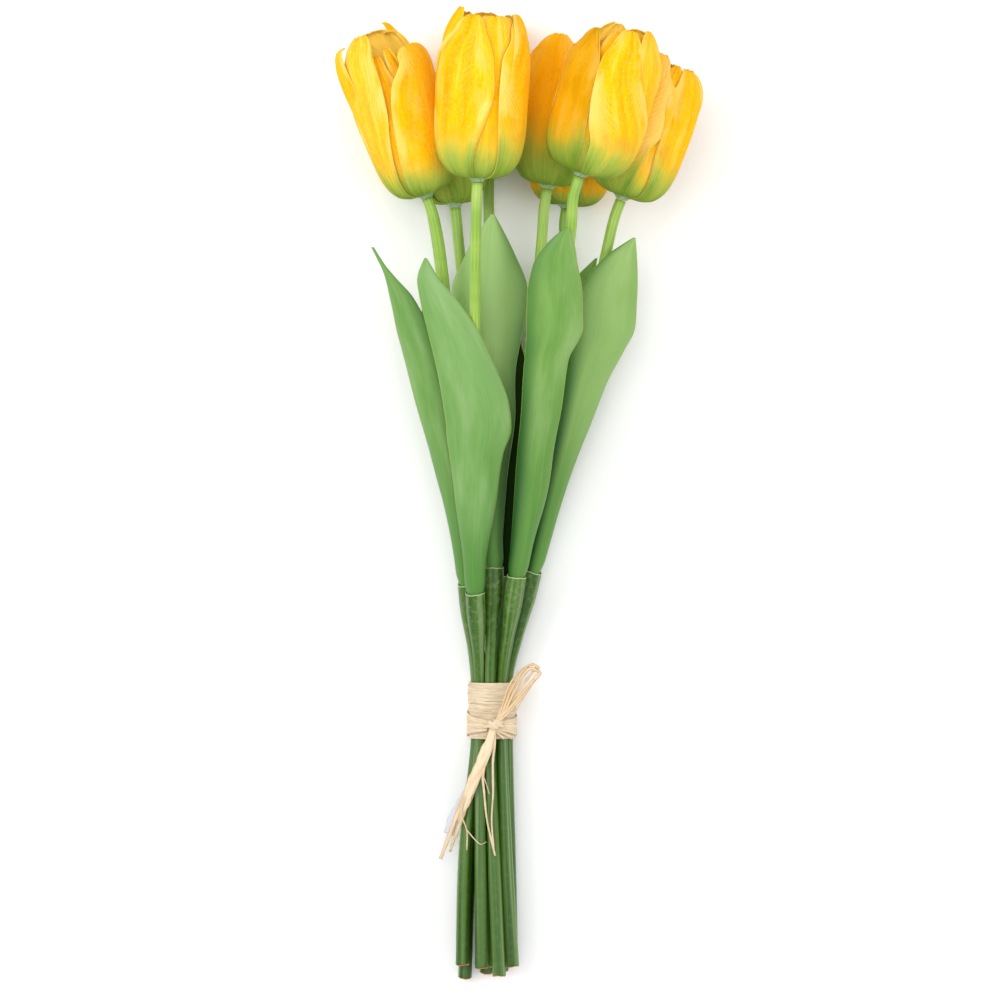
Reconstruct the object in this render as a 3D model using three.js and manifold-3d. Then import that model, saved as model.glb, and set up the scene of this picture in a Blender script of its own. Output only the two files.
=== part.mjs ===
// A bunch of nine artificial tulips, tied round the stems with raffia and lying on a flat surface.
// Millimetres. +Z is up, +Y runs from the cut ends to the blooms. Places are given from the point of
// the surface under the middle of the tie, and the whole bunch is then moved so that its origin is
// the middle of its footprint.
import * as THREE from "three";
import { mergeVertices } from "three/addons/utils/BufferGeometryUtils.js";
import Module from "manifold-3d";

const wasm = await Module();
wasm.setup();

// Driving sizes
const TIE_HEIGHT = 13.5;
const SLOT_CIRCLE = 7.58;
const BAND_LENGTH = 27;
const BAND_INNER_RADIUS = 10.9;
const BAND_OUTER_RADIUS = 11.6;
const BAND_TURNS = 6;
const BAND_SIDES = 14;
const BAND_GROOVE = 0.35;
const CROSSING_CLEARANCE = 1.15;
const STEM_RADIUS = 2.5;
const STEM_SIDES = 7;
const STEM_STEPS = 9;
const SLEEVE_TIED_RADIUS = 2.75;
const SLEEVE_LOWER_RADIUS = 3.3;
const SLEEVE_MOUTH_RADIUS = 4.7;
const SLEEVE_SIDES = 8;
const SOCKET_RADIUS = 4.05;
const SOCKET_DEPTH = 10;
const SEAT_GAP = 0.3;
const LEAF_THICKNESS = 0.6;
const LEAF_CELLS = 6;
const PETAL_THICKNESS = 0.8;
const COLLAR_DEPTH = 1.5;
const GROUND_SIZE = 1200;
const GROUND_DEPTH = 40;

const COLOURS = {
  petal: 0xfbc81e,
  stem: 0xa3cc5e,
  leaf: 0x7fb56a,
  sleeve: 0x4b7a30,
  raffia: 0xeed9a8,
};

// The nine tulips. slot is the place in the tie in degrees round its middle, and null is the middle
// itself. splay is how much of the way to its cut end a sleeve has spread half way down. base and tip
// are the ends of the bloom's axis, turn rotates its petals, and flare opens the three outer petals
// at the top. A leaf's rows are [x, y, z of its midline, half its chord, the half angle of its arched
// section, and how far its face is rolled from up towards +X].
const TULIPS = {
  a: {
    slot: 185,
    cutEnd: [-14.3, -123.5, 15],
    splay: 0.8,
    mouth: [-11.8, 61.5, 26],
    bend: [-23.6, 213, 57.3],
    base: [-31, 245.5, 64.5],
    tip: [-55.5, 316.5, 75],
    bloom: { radius: 19.9, depth: 0.8, turn: -75, flare: [0.6, 0.1, 0.15] },
    leafRoll: -25,
    leaf: [
      [-18.2, 98.5, 39.5, 6.4, 60, -22],
      [-22.6, 123, 46, 8.8, 50, -20],
      [-28.8, 150, 51, 9.6, 42, -20],
      [-36.8, 178, 57, 9, 36, -20],
      [-43, 197, 60.5, 6, 30, -22],
      [-48.3, 207.3, 62.5, 2.4, 25, -26],
      [-51.4, 212.5, 63, 1.2, 22, -28],
      [-56.2, 220.8, 64, 0.7, 20, -30],
    ],
  },
  b: {
    slot: 230,
    cutEnd: [-13.2, -131, 6.3],
    splay: 0.72,
    mouth: [-12, 65.5, 11.5],
    bend: [-24.8, 213, 17.2],
    base: [-32.6, 252, 15],
    tip: [-55.5, 325.5, 15.6],
    bloom: { radius: 19.5, depth: 0.8, turn: 20, flare: [0, 0, 0.1] },
    leafRoll: -140,
    leaf: [
      [-16, 107, 7.6, 8, 55, -158],
      [-19, 131, 8, 11, 46, -160],
      [-22.5, 153, 9, 12.5, 42, -160],
      [-25.5, 174.5, 10.5, 12, 38, -160],
      [-27.6, 194, 11, 7.6, 34, -160],
      [-29.5, 206, 12, 4, 28, -158],
      [-30.6, 213, 13, 0.7, 20, -155],
    ],
  },
  c: {
    slot: 95,
    cutEnd: [3.5, -128, 21.5],
    splay: 0.45,
    mouth: [1, 69.5, 28],
    bend: [-14, 207, 39],
    base: [-17.6, 243, 40.2],
    tip: [-24, 309, 43.4],
    bloom: { radius: 18.5, depth: 0.72, turn: 35, flare: [0, 0, 0] },
    leafRoll: 0,
    leaf: [
      [0.6, 107, 36, 6.2, 54, 0],
      [0.8, 120, 38.4, 7.6, 44, 0],
      [1, 136.5, 40.5, 9.5, 50, 0],
      [-0.5, 164, 45, 12, 42, 0],
      [-0.5, 189, 49, 16.5, 40, 0],
      [-1, 202, 51, 17.8, 38, 0],
      [-0.8, 218, 53.5, 12, 34, 0],
      [-0.2, 229, 55.5, 6, 28, 0],
      [0.5, 237, 57, 0.7, 20, 0],
    ],
  },
  d: {
    slot: 140,
    cutEnd: [-5, -124.5, 19.5],
    splay: 0.6,
    mouth: [-8, 57.5, 35],
    bend: [-8, 181.5, 64.5],
    base: [-6.5, 251.5, 84],
    tip: [-3, 327.5, 95],
    bloom: { radius: 21.5, depth: 0.8, turn: -42, flare: [0, 0, 0] },
    leafRoll: -10,
    leaf: [
      [-8, 99, 50, 9.4, 52, -4],
      [-7.5, 123.5, 57.5, 12.6, 42, -2],
      [-6.2, 135, 61, 15.2, 38, 0],
      [-7.5, 147, 64.3, 15.6, 35, 0],
      [-12, 164, 68.3, 14, 33, 0],
      [-19, 183, 71.5, 11.4, 31, 0],
      [-26, 197.5, 73, 8, 29, 0],
      [-30.3, 207.5, 73.8, 4.4, 26, 0],
      [-31, 215, 74, 0.7, 20, 0],
    ],
  },
  e: {
    slot: 275,
    cutEnd: [-2.6, -129, 2.9],
    splay: 0.5,
    mouth: [0.5, 65, 8.8],
    bend: [-1.5, 239.5, 14],
    base: [-1.5, 260.5, 14.4],
    tip: [-1, 335, 15.2],
    bloom: { radius: 19.5, depth: 0.76, turn: 0, flare: [0, 0, 0] },
    leafRoll: 180,
    leaf: [
      [1.2, 107, 3.8, 8, 55, 180],
      [2.4, 131, 3.2, 10.4, 44, 180],
      [3, 153.5, 3.2, 11.8, 38, 180],
      [2.5, 175, 3.6, 12, 34, 180],
      [2, 194.5, 4.6, 9, 30, 180],
      [1, 208, 6.2, 4.6, 25, 180],
      [0, 217, 7.6, 0.7, 20, 180],
    ],
  },
  f: {
    slot: null,
    cutEnd: [-2.5, -124.5, 12],
    splay: 0.5,
    mouth: [6, 65.5, 18.2],
    bend: [23.4, 221, 42],
    base: [26.5, 251.5, 46],
    tip: [36.5, 319.5, 53.5],
    bloom: { radius: 19.8, depth: 0.8, turn: 10, flare: [0, 0, 0] },
    leafRoll: 0,
    leaf: [
      [9.2, 107, 29.6, 6.2, 56, 0],
      [9.2, 123.5, 32.6, 7.6, 46, 0],
      [7.8, 145, 36.8, 9.6, 36, 0],
      [6, 166, 39.8, 10.4, 32, 0],
      [4.4, 180, 41.1, 8.2, 34, 0],
      [3.4, 198, 43.1, 4.8, 28, 0],
      [3, 215, 45, 0.7, 20, 0],
    ],
  },
  g: {
    slot: 50,
    cutEnd: [9.9, -124, 17],
    splay: 0.38,
    mouth: [12, 65.5, 35],
    bend: [37, 227, 74],
    base: [41.5, 254.3, 80],
    tip: [63, 321.5, 91],
    bloom: { radius: 23, depth: 0.75, turn: -20, flare: [0.05, 0.05, 0] },
    leafRoll: 10,
    leaf: [
      [19, 107, 50.5, 7.9, 56, 2],
      [20.5, 123.5, 55, 8.6, 48, 0],
      [23.5, 144, 61, 9.4, 42, 0],
      [25.6, 167, 66.6, 10.2, 36, 0],
      [29.6, 183, 71, 13.4, 34, 0],
      [29.7, 198, 74.5, 13, 32, 0],
      [29.8, 211, 77.2, 10.6, 30, 0],
      [32, 221, 79.5, 6.6, 26, 0],
      [35, 229, 81, 0.7, 20, 0],
    ],
  },
  h: {
    slot: 320,
    cutEnd: [4.8, -128, 2.9],
    splay: 0.45,
    mouth: [13.5, 65.5, 10.6],
    bend: [37.4, 222.5, 16.2],
    base: [36, 244, 15.6],
    tip: [43.5, 318.5, 16.2],
    bloom: { radius: 21.3, depth: 0.75, turn: 50, flare: [0, 0, 0] },
    leafRoll: 130,
    leaf: [
      [23.6, 107, 7.8, 8, 56, 145],
      [28.5, 131, 7.8, 11, 46, 150],
      [32.5, 153, 8.8, 12.8, 40, 152],
      [37, 174.5, 10.2, 13, 37, 152],
      [41.2, 194, 12.6, 10.4, 34, 150],
      [45.5, 209, 15.8, 5.4, 28, 148],
      [50.5, 218.5, 19, 0.7, 20, 148],
    ],
  },
  i: {
    slot: 5,
    cutEnd: [9.5, -122, 9.5],
    splay: 0.44,
    mouth: [19.5, 67.5, 25],
    bend: [53.5, 215, 45.5],
    base: [62, 246, 49],
    tip: [84.5, 308.5, 57],
    bloom: { radius: 21, depth: 0.8, turn: 30, flare: [0.05, 0, 0] },
    leafRoll: 20,
    leaf: [
      [30.4, 107, 36, 7, 58, 20],
      [37.6, 133, 41, 9.8, 48, 20],
      [44.2, 157, 45.2, 12.8, 40, 20],
      [50, 173, 48, 15.8, 37, 18],
      [53, 183, 49.6, 17.8, 36, 17],
      [54.6, 196, 51, 16.4, 34, 16],
      [57.8, 207, 52, 12.6, 31, 14],
      [62.2, 218, 53.2, 7.2, 27, 12],
      [67.5, 226, 54, 0.7, 20, 10],
    ],
  },
};

// The petals of a bloom: how many, their share of the bloom's width and height, the half angle that
// each covers, the angle of the first one, its cells across, its rows as shares of its length, and
// how far up the collar it starts.
const PETAL_LAYERS = [
  {
    petals: 3,
    width: 1,
    height: 1,
    cover: 57,
    first: 0,
    across: 4,
    rows: [0, 0.12, 0.26, 0.44, 0.7, 0.9, 1],
    rise: 0,
  },
  { petals: 3, width: 0.87, height: 0.96, cover: 56, first: 60, across: 3, rows: [0, 0.24, 0.8, 1], rise: 2 },
  { petals: 3, width: 0.6, height: 0.86, cover: 48, first: 15, across: 2, rows: [0, 0.3, 1], rise: 3 },
];

// A leaf's lowest rows wrap its stem: the distance up the stem, the radius and the half angle.
const LEAF_HUG = [
  [2.2, 3.3, 110],
  [11, 3.3, 110],
  [23, 4.8, 88],
];

// Half section of a closed bloom from its base to the petals' tips, as shares of radius and height.
const BLOOM_SECTION = new THREE.SplineCurve(
  [
    [0.1, 0.01],
    [0.45, 0.01],
    [0.74, 0.055],
    [0.91, 0.145],
    [0.985, 0.27],
    [1, 0.43],
    [1, 0.6],
    [0.97, 0.76],
    [0.89, 0.89],
    [0.76, 0.97],
    [0.62, 1],
  ].map(([radius, height]) => new THREE.Vector2(radius, height)),
);

// Points of a strand that lies on the band, from one place round it, in degrees, to another.
function crossing(fromAngle, fromY, toAngle, toY) {
  return [0, 0.25, 0.5, 0.75, 1].map((share) => {
    const angle = THREE.MathUtils.degToRad(THREE.MathUtils.lerp(fromAngle, toAngle, share));
    const radius = BAND_OUTER_RADIUS + CROSSING_CLEARANCE;
    return [
      radius * Math.cos(angle),
      THREE.MathUtils.lerp(fromY, toY, share),
      TIE_HEIGHT + radius * Math.sin(angle) + share,
    ];
  });
}

// The raffia of the bow, as flat strands: the width of each and the points that it runs through.
const BOW_KNOT = [0.8, -6.5, 27.5];
const STRAND_THICKNESS = 0.8;
const CROSSING_STRANDS = [
  { width: 3, points: crossing(172, -1, 96, -5.5) },
  { width: 2.6, points: crossing(178, -6, 98, -7) },
  { width: 3, points: crossing(12, -8, 76, -7) },
];
const LOOP_STRANDS = [
  { width: 2.2, points: [BOW_KNOT, [5.3, -0.8, 29.5], [10.2, 11, 31.5], [17, 21.6, 33], [22, 20, 32.5]] },
  { width: 2.2, points: [BOW_KNOT, [8.4, 1.5, 30.5], [14.5, 9, 32], [21.8, 17.6, 32.4], [22, 20, 32.5]] },
  { width: 2, points: [BOW_KNOT, [7, -1.5, 30], [13.2, 6.4, 31.5], [18.4, 13.5, 32]] },
  { width: 2, points: [BOW_KNOT, [4.4, 1, 29], [9, 14, 30.4], [15, 21.4, 31.2]] },
];
const WIDE_TAIL = [BOW_KNOT, [-2, -14.5, 27.6], [-5, -23, 26.6], [-11, -38.5, 23.4], [-14.6, -47, 20.6]];
const TAIL_STRANDS = [
  { width: 6, points: WIDE_TAIL },
  { width: 2.6, points: [[-10, -37, 23.6], [-15.6, -49.5, 19.8], [-20.4, -61, 15.6], [-25, -72.4, 11.4]] },
  { width: 2.2, points: [[-10, -37, 23.6], [-13.6, -49, 20.2], [-17.4, -59, 16.6], [-20.4, -68.5, 13]] },
];
const LEFT_FIBRE = [BOW_KNOT, [-2.4, -20, 27], [-4.3, -32, 25.4], [-3.8, -38.8, 25], [-2.4, -52.7, 25.4]];
const FIBRE_STRANDS = [
  { width: 1, points: [[-11.4, -39, 23.4], [-14.9, -49, 21.4], [-12, -57.8, 20.4], [-12, -67.5, 19.8]] },
  { width: 1.2, points: [...LEFT_FIBRE, [1.5, -69.5, 26.2]] },
  { width: 1.2, points: [BOW_KNOT, [1.5, -14, 27.8], [0.5, -24, 26.8], [0.5, -39, 26.2], [-0.6, -61, 26]] },
];

const vector = ([x, y, z]) => new THREE.Vector3(x, y, z);
const radians = THREE.MathUtils.degToRad;

function solid(geometry) {
  const bare = geometry.clone();
  bare.deleteAttribute("normal");
  bare.deleteAttribute("uv");
  const merged = mergeVertices(bare, 1e-4);
  return new wasm.Manifold(
    new wasm.Mesh({
      numProp: 3,
      vertProperties: merged.attributes.position.array,
      triVerts: new Uint32Array(merged.index.array),
    }),
  );
}

function geometryOf(body) {
  const mesh = body.getMesh();
  return new THREE.BufferGeometry()
    .setAttribute("position", new THREE.BufferAttribute(mesh.vertProperties, 3))
    .setIndex(new THREE.BufferAttribute(mesh.triVerts, 1));
}

function indexedGeometry(points, triangles) {
  return new THREE.BufferGeometry().setFromPoints(points).setIndex(triangles);
}

// A closed thin body between two grids of points, given as rows of equal length.
function shell(front, back) {
  const rows = front.length;
  const columns = front[0].length;
  const half = rows * columns;
  const triangles = [];
  const at = (row, column) => row * columns + column;
  for (let row = 0; row < rows - 1; row += 1) {
    for (let column = 0; column < columns - 1; column += 1) {
      const a = at(row, column);
      const b = at(row, column + 1);
      const c = at(row + 1, column + 1);
      const d = at(row + 1, column);
      triangles.push(a, b, c, a, c, d);
      triangles.push(half + a, half + c, half + b, half + a, half + d, half + c);
    }
  }
  const rim = [];
  for (let column = 0; column < columns - 1; column += 1) rim.push(at(0, column));
  for (let row = 0; row < rows - 1; row += 1) rim.push(at(row, columns - 1));
  for (let column = columns - 1; column > 0; column -= 1) rim.push(at(rows - 1, column));
  for (let row = rows - 1; row > 0; row -= 1) rim.push(at(row, 0));
  rim.forEach((start, place) => {
    const end = rim[(place + 1) % rim.length];
    triangles.push(end, start, half + start, end, half + start, half + end);
  });
  return indexedGeometry([...front.flat(), ...back.flat()], triangles);
}

// A closed body through rings of points, each ring anticlockwise about the way that it runs.
function loft(rings) {
  const sides = rings[0].length;
  const points = rings.flat();
  const triangles = [];
  for (let ring = 0; ring < rings.length - 1; ring += 1) {
    for (let side = 0; side < sides; side += 1) {
      const a = ring * sides + side;
      const b = ring * sides + ((side + 1) % sides);
      triangles.push(a, b, b + sides, a, b + sides, a + sides);
    }
  }
  const last = points.length - sides;
  for (let side = 1; side < sides - 1; side += 1) {
    triangles.push(0, side + 1, side);
    triangles.push(last, last + side, last + side + 1);
  }
  return indexedGeometry(points, triangles);
}

// Rings round a curve. section gives a ring's points as [sideways, up] for a share of the length.
function rings(curve, shares, section) {
  return shares.map((share) => {
    const centre = curve.getPointAt(share);
    const along = curve.getTangentAt(share);
    const sideways = new THREE.Vector3().crossVectors(along, new THREE.Vector3(0, 0, 1)).normalize();
    const up = new THREE.Vector3().crossVectors(sideways, along);
    return section(share).map(([right, high]) =>
      centre.clone().addScaledVector(sideways, right).addScaledVector(up, high),
    );
  });
}

function evenShares(count) {
  return Array.from({ length: count + 1 }, (_, step) => step / count);
}

// A round section, anticlockwise about the curve.
function circle(radius, sides) {
  return Array.from({ length: sides }, (_, side) => {
    const angle = (-2 * Math.PI * (side + 0.5)) / sides;
    return [radius * Math.cos(angle), radius * Math.sin(angle)];
  });
}

function curveThrough(points) {
  return new THREE.CatmullRomCurve3(points, false, "centripetal");
}

function mesh(name, geometry, colour, roughness) {
  const flat = geometry.clone();
  flat.computeVertexNormals();
  const made = new THREE.Mesh(
    flat,
    new THREE.MeshStandardMaterial({ color: colour, roughness, metalness: 0 }),
  );
  made.name = name;
  return made;
}

// The part of a body that lies above the surface that the bunch rests on.
function onSurface(body) {
  const under = new THREE.BoxGeometry(GROUND_SIZE, GROUND_SIZE, GROUND_DEPTH);
  return body.subtract(solid(under.translate(0, 0, -GROUND_DEPTH / 2)));
}

// The middle line of a whole tulip, from the cut end through its slot in the tie to its bloom.
function tulipCurve(tulip) {
  const turn = radians(tulip.slot ?? 0);
  const reach = tulip.slot === null ? 0 : SLOT_CIRCLE;
  const slot = new THREE.Vector3(reach * Math.cos(turn), 0, TIE_HEIGHT + reach * Math.sin(turn));
  const low = slot.clone().setY(-BAND_LENGTH / 2 - 2);
  const high = slot.clone().setY(BAND_LENGTH / 2 + 2);
  const end = vector(tulip.cutEnd);
  const mouth = vector(tulip.mouth);
  const bend = vector(tulip.bend);
  const base = vector(tulip.base);
  const axis = vector(tulip.tip).sub(base).normalize();
  const top = base.clone().addScaledVector(axis, -COLLAR_DEPTH - SEAT_GAP);
  return curveThrough([
    end,
    low.clone().lerp(end, tulip.splay).setY((low.y + end.y) / 2),
    low,
    slot,
    high,
    high.clone().lerp(mouth, 0.55),
    mouth,
    mouth.clone().lerp(bend, 0.5),
    bend,
    top.clone().addScaledVector(axis, -9),
    top,
  ]);
}

// The share of a curve's length at which it reaches a place along Y.
function shareAt(curve, y) {
  let low = 0;
  let high = 1;
  for (let step = 0; step < 24; step += 1) {
    const middle = (low + high) / 2;
    if (curve.getPointAt(middle).y < y) low = middle;
    else high = middle;
  }
  return low;
}

// A sleeve is thinnest in the tie and widest over its socket.
function sleeveRadius(y, fromMouth) {
  const lower = THREE.MathUtils.smoothstep(-y, BAND_LENGTH / 2 + 2, 90);
  const upper = THREE.MathUtils.smoothstep(y, BAND_LENGTH / 2, 45);
  const tube = SLEEVE_TIED_RADIUS + (SLEEVE_LOWER_RADIUS - SLEEVE_TIED_RADIUS) * Math.max(lower, upper);
  const widening = 1 - THREE.MathUtils.smoothstep(fromMouth, SOCKET_DEPTH + 1, 32);
  return tube + (SLEEVE_MOUTH_RADIUS - tube) * widening;
}

function sleeveSolid(tulip) {
  const curve = tulipCurve(tulip);
  const length = curve.getLength();
  const mouth = shareAt(curve, tulip.mouth[1]);
  const lower = [-90, -55, -28, -14, 14].map((y) => shareAt(curve, y));
  const upper = [34, 26, 19, SOCKET_DEPTH + 2, 0].map((distance) => mouth - distance / length);
  const body = loft(
    rings(curve, [0, ...lower, ...upper], (share) => {
      const radius = sleeveRadius(curve.getPointAt(share).y, (mouth - share) * length);
      return circle(radius, SLEEVE_SIDES);
    }),
  );
  const boreShares = [-SOCKET_DEPTH, 0, 4].map((distance) => mouth + distance / length);
  const bore = loft(rings(curve, boreShares, () => circle(SOCKET_RADIUS, SLEEVE_SIDES)));
  return onSurface(solid(body).subtract(solid(bore)));
}

// The share of a tulip's middle line at which its upper stem stands in the sleeve's socket.
function stemFoot(curve, tulip) {
  return shareAt(curve, tulip.mouth[1]) - (SOCKET_DEPTH - SEAT_GAP) / curve.getLength();
}

function stemGeometry(tulip) {
  const curve = tulipCurve(tulip);
  const foot = stemFoot(curve, tulip);
  const shares = evenShares(STEM_STEPS).map((share) => foot + (1 - foot) * share);
  return loft(rings(curve, shares, () => circle(STEM_RADIUS, STEM_SIDES)));
}

// A leaf is a stack of arched rows. The lowest ones wrap the stem inside the sleeve's mouth.
function leafRows(tulip) {
  const curve = tulipCurve(tulip);
  const foot = stemFoot(curve, tulip);
  const turn = radians(tulip.leafRoll);
  const hugging = LEAF_HUG.map(([distance, radius, wrap]) => {
    const centre = curve.getPointAt(foot + distance / curve.getLength());
    return [
      centre.x + radius * Math.sin(turn),
      centre.y,
      centre.z + radius * Math.cos(turn),
      radius,
      wrap,
      tulip.leafRoll,
    ];
  });
  return [...hugging, ...tulip.leaf];
}

function leafGeometry(tulip) {
  const grids = [LEAF_THICKNESS / 2, -LEAF_THICKNESS / 2].map((offset) =>
    leafRows(tulip).map(([x, y, z, chord, wrap, roll]) => {
      const radius = chord / Math.sin(radians(Math.min(wrap, 90)));
      const centre = new THREE.Vector3(Math.sin(radians(roll)), 0, Math.cos(radians(roll)))
        .multiplyScalar(-radius)
        .add(new THREE.Vector3(x, y, z));
      return Array.from({ length: LEAF_CELLS + 1 }, (_, column) => {
        const angle = radians(roll + wrap * ((2 * column) / LEAF_CELLS - 1));
        return new THREE.Vector3(Math.sin(angle), 0, Math.cos(angle))
          .multiplyScalar(radius + offset)
          .add(centre);
      });
    }),
  );
  return shell(grids[0], grids[1]);
}

// How far either side of a point a petal's slope is measured, as a share of its length.
const SLOPE_STEP = 0.02;

// A petal's half width at a share of its length: full to past the middle, then a rounded point.
function petalTaper(share) {
  const past = Math.max(0, (share - 0.62) / 0.4);
  return Math.sqrt(1 - past ** 2.2);
}

function petalGeometry(frame, layer, petal, flare) {
  const { base, axis, side, front, radius, depth, height, turn } = frame;
  const heading = turn + layer.first + (360 / layer.petals) * petal;
  const place = (across, share) => {
    const section = BLOOM_SECTION.getPointAt(share);
    const open = 1 + flare * Math.max(0, share - 0.45) ** 1.5;
    const reach = radius * layer.width * section.x * open;
    const angle = radians(heading + layer.cover * petalTaper(share) * across);
    return base
      .clone()
      .addScaledVector(axis, layer.rise + (height * layer.height - layer.rise) * section.y)
      .addScaledVector(side, reach * Math.sin(angle))
      .addScaledVector(front, reach * Math.cos(angle) * depth);
  };
  const offsetGrid = (offset) =>
    layer.rows.map((share) =>
      evenShares(layer.across).map((step) => {
        const across = 2 * step - 1;
        const here = place(across, share);
        const right = place(across + SLOPE_STEP, share);
        const left = place(across - SLOPE_STEP, share);
        const above = place(across, Math.min(1, share + SLOPE_STEP));
        const below = place(across, Math.max(0, share - SLOPE_STEP));
        const normal = right.sub(left).cross(above.sub(below)).normalize();
        return here.addScaledVector(normal, offset);
      }),
    );
  return shell(offsetGrid(PETAL_THICKNESS / 2), offsetGrid(-PETAL_THICKNESS / 2));
}

// The solid cup at the base of a bloom that the petals grow from.
function collarGeometry(frame) {
  const profile = [
    [0, -COLLAR_DEPTH],
    [2.8, -COLLAR_DEPTH],
    [4.6, 1.6],
    [3.4, 4.8],
    [0, 4.8],
  ].map(([radius, height]) => new THREE.Vector2(radius, height));
  const { base, axis, side, front } = frame;
  const place = new THREE.Matrix4().makeBasis(side, axis, front).setPosition(base);
  return new THREE.LatheGeometry(profile, 6).applyMatrix4(place);
}

function bloomSolid(tulip) {
  const base = vector(tulip.base);
  const axis = vector(tulip.tip).sub(base);
  const height = axis.length();
  axis.normalize();
  const front = new THREE.Vector3(0, 0, 1).addScaledVector(axis, -axis.z).normalize();
  const side = new THREE.Vector3().crossVectors(axis, front);
  const { radius, depth, turn, flare } = tulip.bloom;
  const frame = { base, axis, side, front, radius, depth, height, turn };
  const petals = PETAL_LAYERS.flatMap((layer, order) =>
    Array.from({ length: layer.petals }, (_, petal) =>
      petalGeometry(frame, layer, petal, order === 0 ? flare[petal] : 0),
    ),
  );
  return onSurface(petals.reduce((body, petal) => body.add(solid(petal)), solid(collarGeometry(frame))));
}

// The band: turns of raffia wound round the nine sleeves, as a ring with a ridge for each turn.
function bandGeometry() {
  const ridge = BAND_LENGTH / (2 * BAND_TURNS);
  const outside = Array.from({ length: 2 * BAND_TURNS + 1 }, (_, step) => {
    const radius = step % 2 ? BAND_OUTER_RADIUS : BAND_OUTER_RADIUS - BAND_GROOVE;
    return new THREE.Vector2(radius, step * ridge - BAND_LENGTH / 2);
  });
  const inside = [BAND_LENGTH / 2, -BAND_LENGTH / 2].map((y) => new THREE.Vector2(BAND_INNER_RADIUS, y));
  const profile = [...outside, ...inside, outside[0]];
  return new THREE.LatheGeometry(profile, BAND_SIDES).translate(0, 0, TIE_HEIGHT);
}

function strandGeometry({ width, points }) {
  const curve = curveThrough(points.map(vector));
  const halfWidth = width / 2;
  const halfThick = STRAND_THICKNESS / 2;
  const section = () => [
    [-halfWidth, -halfThick],
    [-halfWidth, halfThick],
    [halfWidth, halfThick],
    [halfWidth, -halfThick],
  ];
  return loft(rings(curve, evenShares(points.length), section));
}

function bowSolid() {
  const knot = new THREE.SphereGeometry(1, 8, 6).scale(3.6, 3.2, 1.9).translate(...BOW_KNOT);
  const strands = [...CROSSING_STRANDS, ...LOOP_STRANDS, ...TAIL_STRANDS, ...FIBRE_STRANDS];
  return strands.reduce((body, strand) => body.add(solid(strandGeometry(strand))), solid(knot));
}

const bunch = new THREE.Group();
for (const [letter, tulip] of Object.entries(TULIPS)) {
  bunch.add(
    mesh("bloom_" + letter, geometryOf(bloomSolid(tulip)), COLOURS.petal, 0.75),
    mesh("stem_" + letter, stemGeometry(tulip), COLOURS.stem, 0.5),
    mesh("leaf_" + letter, leafGeometry(tulip), COLOURS.leaf, 0.6),
    mesh("sleeve_" + letter, geometryOf(sleeveSolid(tulip)), COLOURS.sleeve, 0.5),
  );
}
bunch.add(
  mesh("raffia_band", bandGeometry(), COLOURS.raffia, 0.85),
  mesh("raffia_bow", geometryOf(bowSolid()), COLOURS.raffia, 0.85),
);

// The origin is the middle of the footprint, on the surface.
const box = new THREE.Box3().setFromObject(bunch);
const middle = box.getCenter(new THREE.Vector3());
bunch.position.set(-middle.x, -middle.y, 0);

export default bunch;
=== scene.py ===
"""A bunch of nine yellow artificial tulips, tied round the stems with raffia and lying on its side.

Lengths are in millimetres from the point of the surface under the middle of the tie, with +Y towards
the blooms and +Z up, until a mesh is made in metres in the part's frame.
"""

import bpy
import numpy as np
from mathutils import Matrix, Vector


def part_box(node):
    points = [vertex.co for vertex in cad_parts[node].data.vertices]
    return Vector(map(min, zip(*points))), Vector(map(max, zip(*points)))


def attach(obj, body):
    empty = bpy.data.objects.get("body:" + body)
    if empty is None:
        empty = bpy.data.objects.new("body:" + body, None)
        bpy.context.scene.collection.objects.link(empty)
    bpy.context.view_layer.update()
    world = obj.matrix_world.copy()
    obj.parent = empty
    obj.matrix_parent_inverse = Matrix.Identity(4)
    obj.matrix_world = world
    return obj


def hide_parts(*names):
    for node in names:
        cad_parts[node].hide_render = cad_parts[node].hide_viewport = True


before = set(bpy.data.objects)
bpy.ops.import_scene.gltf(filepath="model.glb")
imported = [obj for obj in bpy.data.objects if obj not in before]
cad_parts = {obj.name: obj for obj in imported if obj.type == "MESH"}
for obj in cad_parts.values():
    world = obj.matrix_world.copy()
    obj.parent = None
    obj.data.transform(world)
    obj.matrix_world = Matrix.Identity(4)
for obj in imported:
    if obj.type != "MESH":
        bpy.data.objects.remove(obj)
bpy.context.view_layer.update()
TIE_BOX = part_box("raffia_band")
TIE_PLACE = np.array([(TIE_BOX[0].x + TIE_BOX[1].x) / 2, (TIE_BOX[0].y + TIE_BOX[1].y) / 2, 0.0])

# The camera looks straight down from this place, in metres from the point under the tie
CAMERA_PLACE = (0.0039, 0.1017, 1.831)
scene = bpy.context.scene
camera_data = bpy.data.cameras.new("camera")
camera_data.lens = 135
camera_data.sensor_width = 36
camera_data.clip_start = 0.05
camera_data.clip_end = 20
camera = bpy.data.objects.new("camera", camera_data)
camera.location = TIE_PLACE + CAMERA_PLACE
scene.collection.objects.link(camera)
scene.camera = camera

# Sizes
TIE_HEIGHT = 13.5
SLOT_CIRCLE = 7.58
BAND_LENGTH = 27
BAND_INNER_RADIUS = 10.9
BAND_OUTER_RADIUS = 11.6
STEM_RADIUS = 2.6
SLEEVE_TIED_RADIUS = 2.75
SLEEVE_LOWER_RADIUS = 3.3
SLEEVE_MOUTH_RADIUS = 4.7
SOCKET_RADIUS = 4.4
SOCKET_DEPTH = 9.5
SEAT_GAP = 0.3
LEAF_THICKNESS = 0.55
PETAL_THICKNESS = 0.45
COLLAR_DEPTH = 1.5
SHEET_CLEARANCE = 0.2
SLEEVE_RIBS = 4
STEM_RIBS = 9
BAND_SWELLS = 9
WOUND_TURNS = 32

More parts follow.
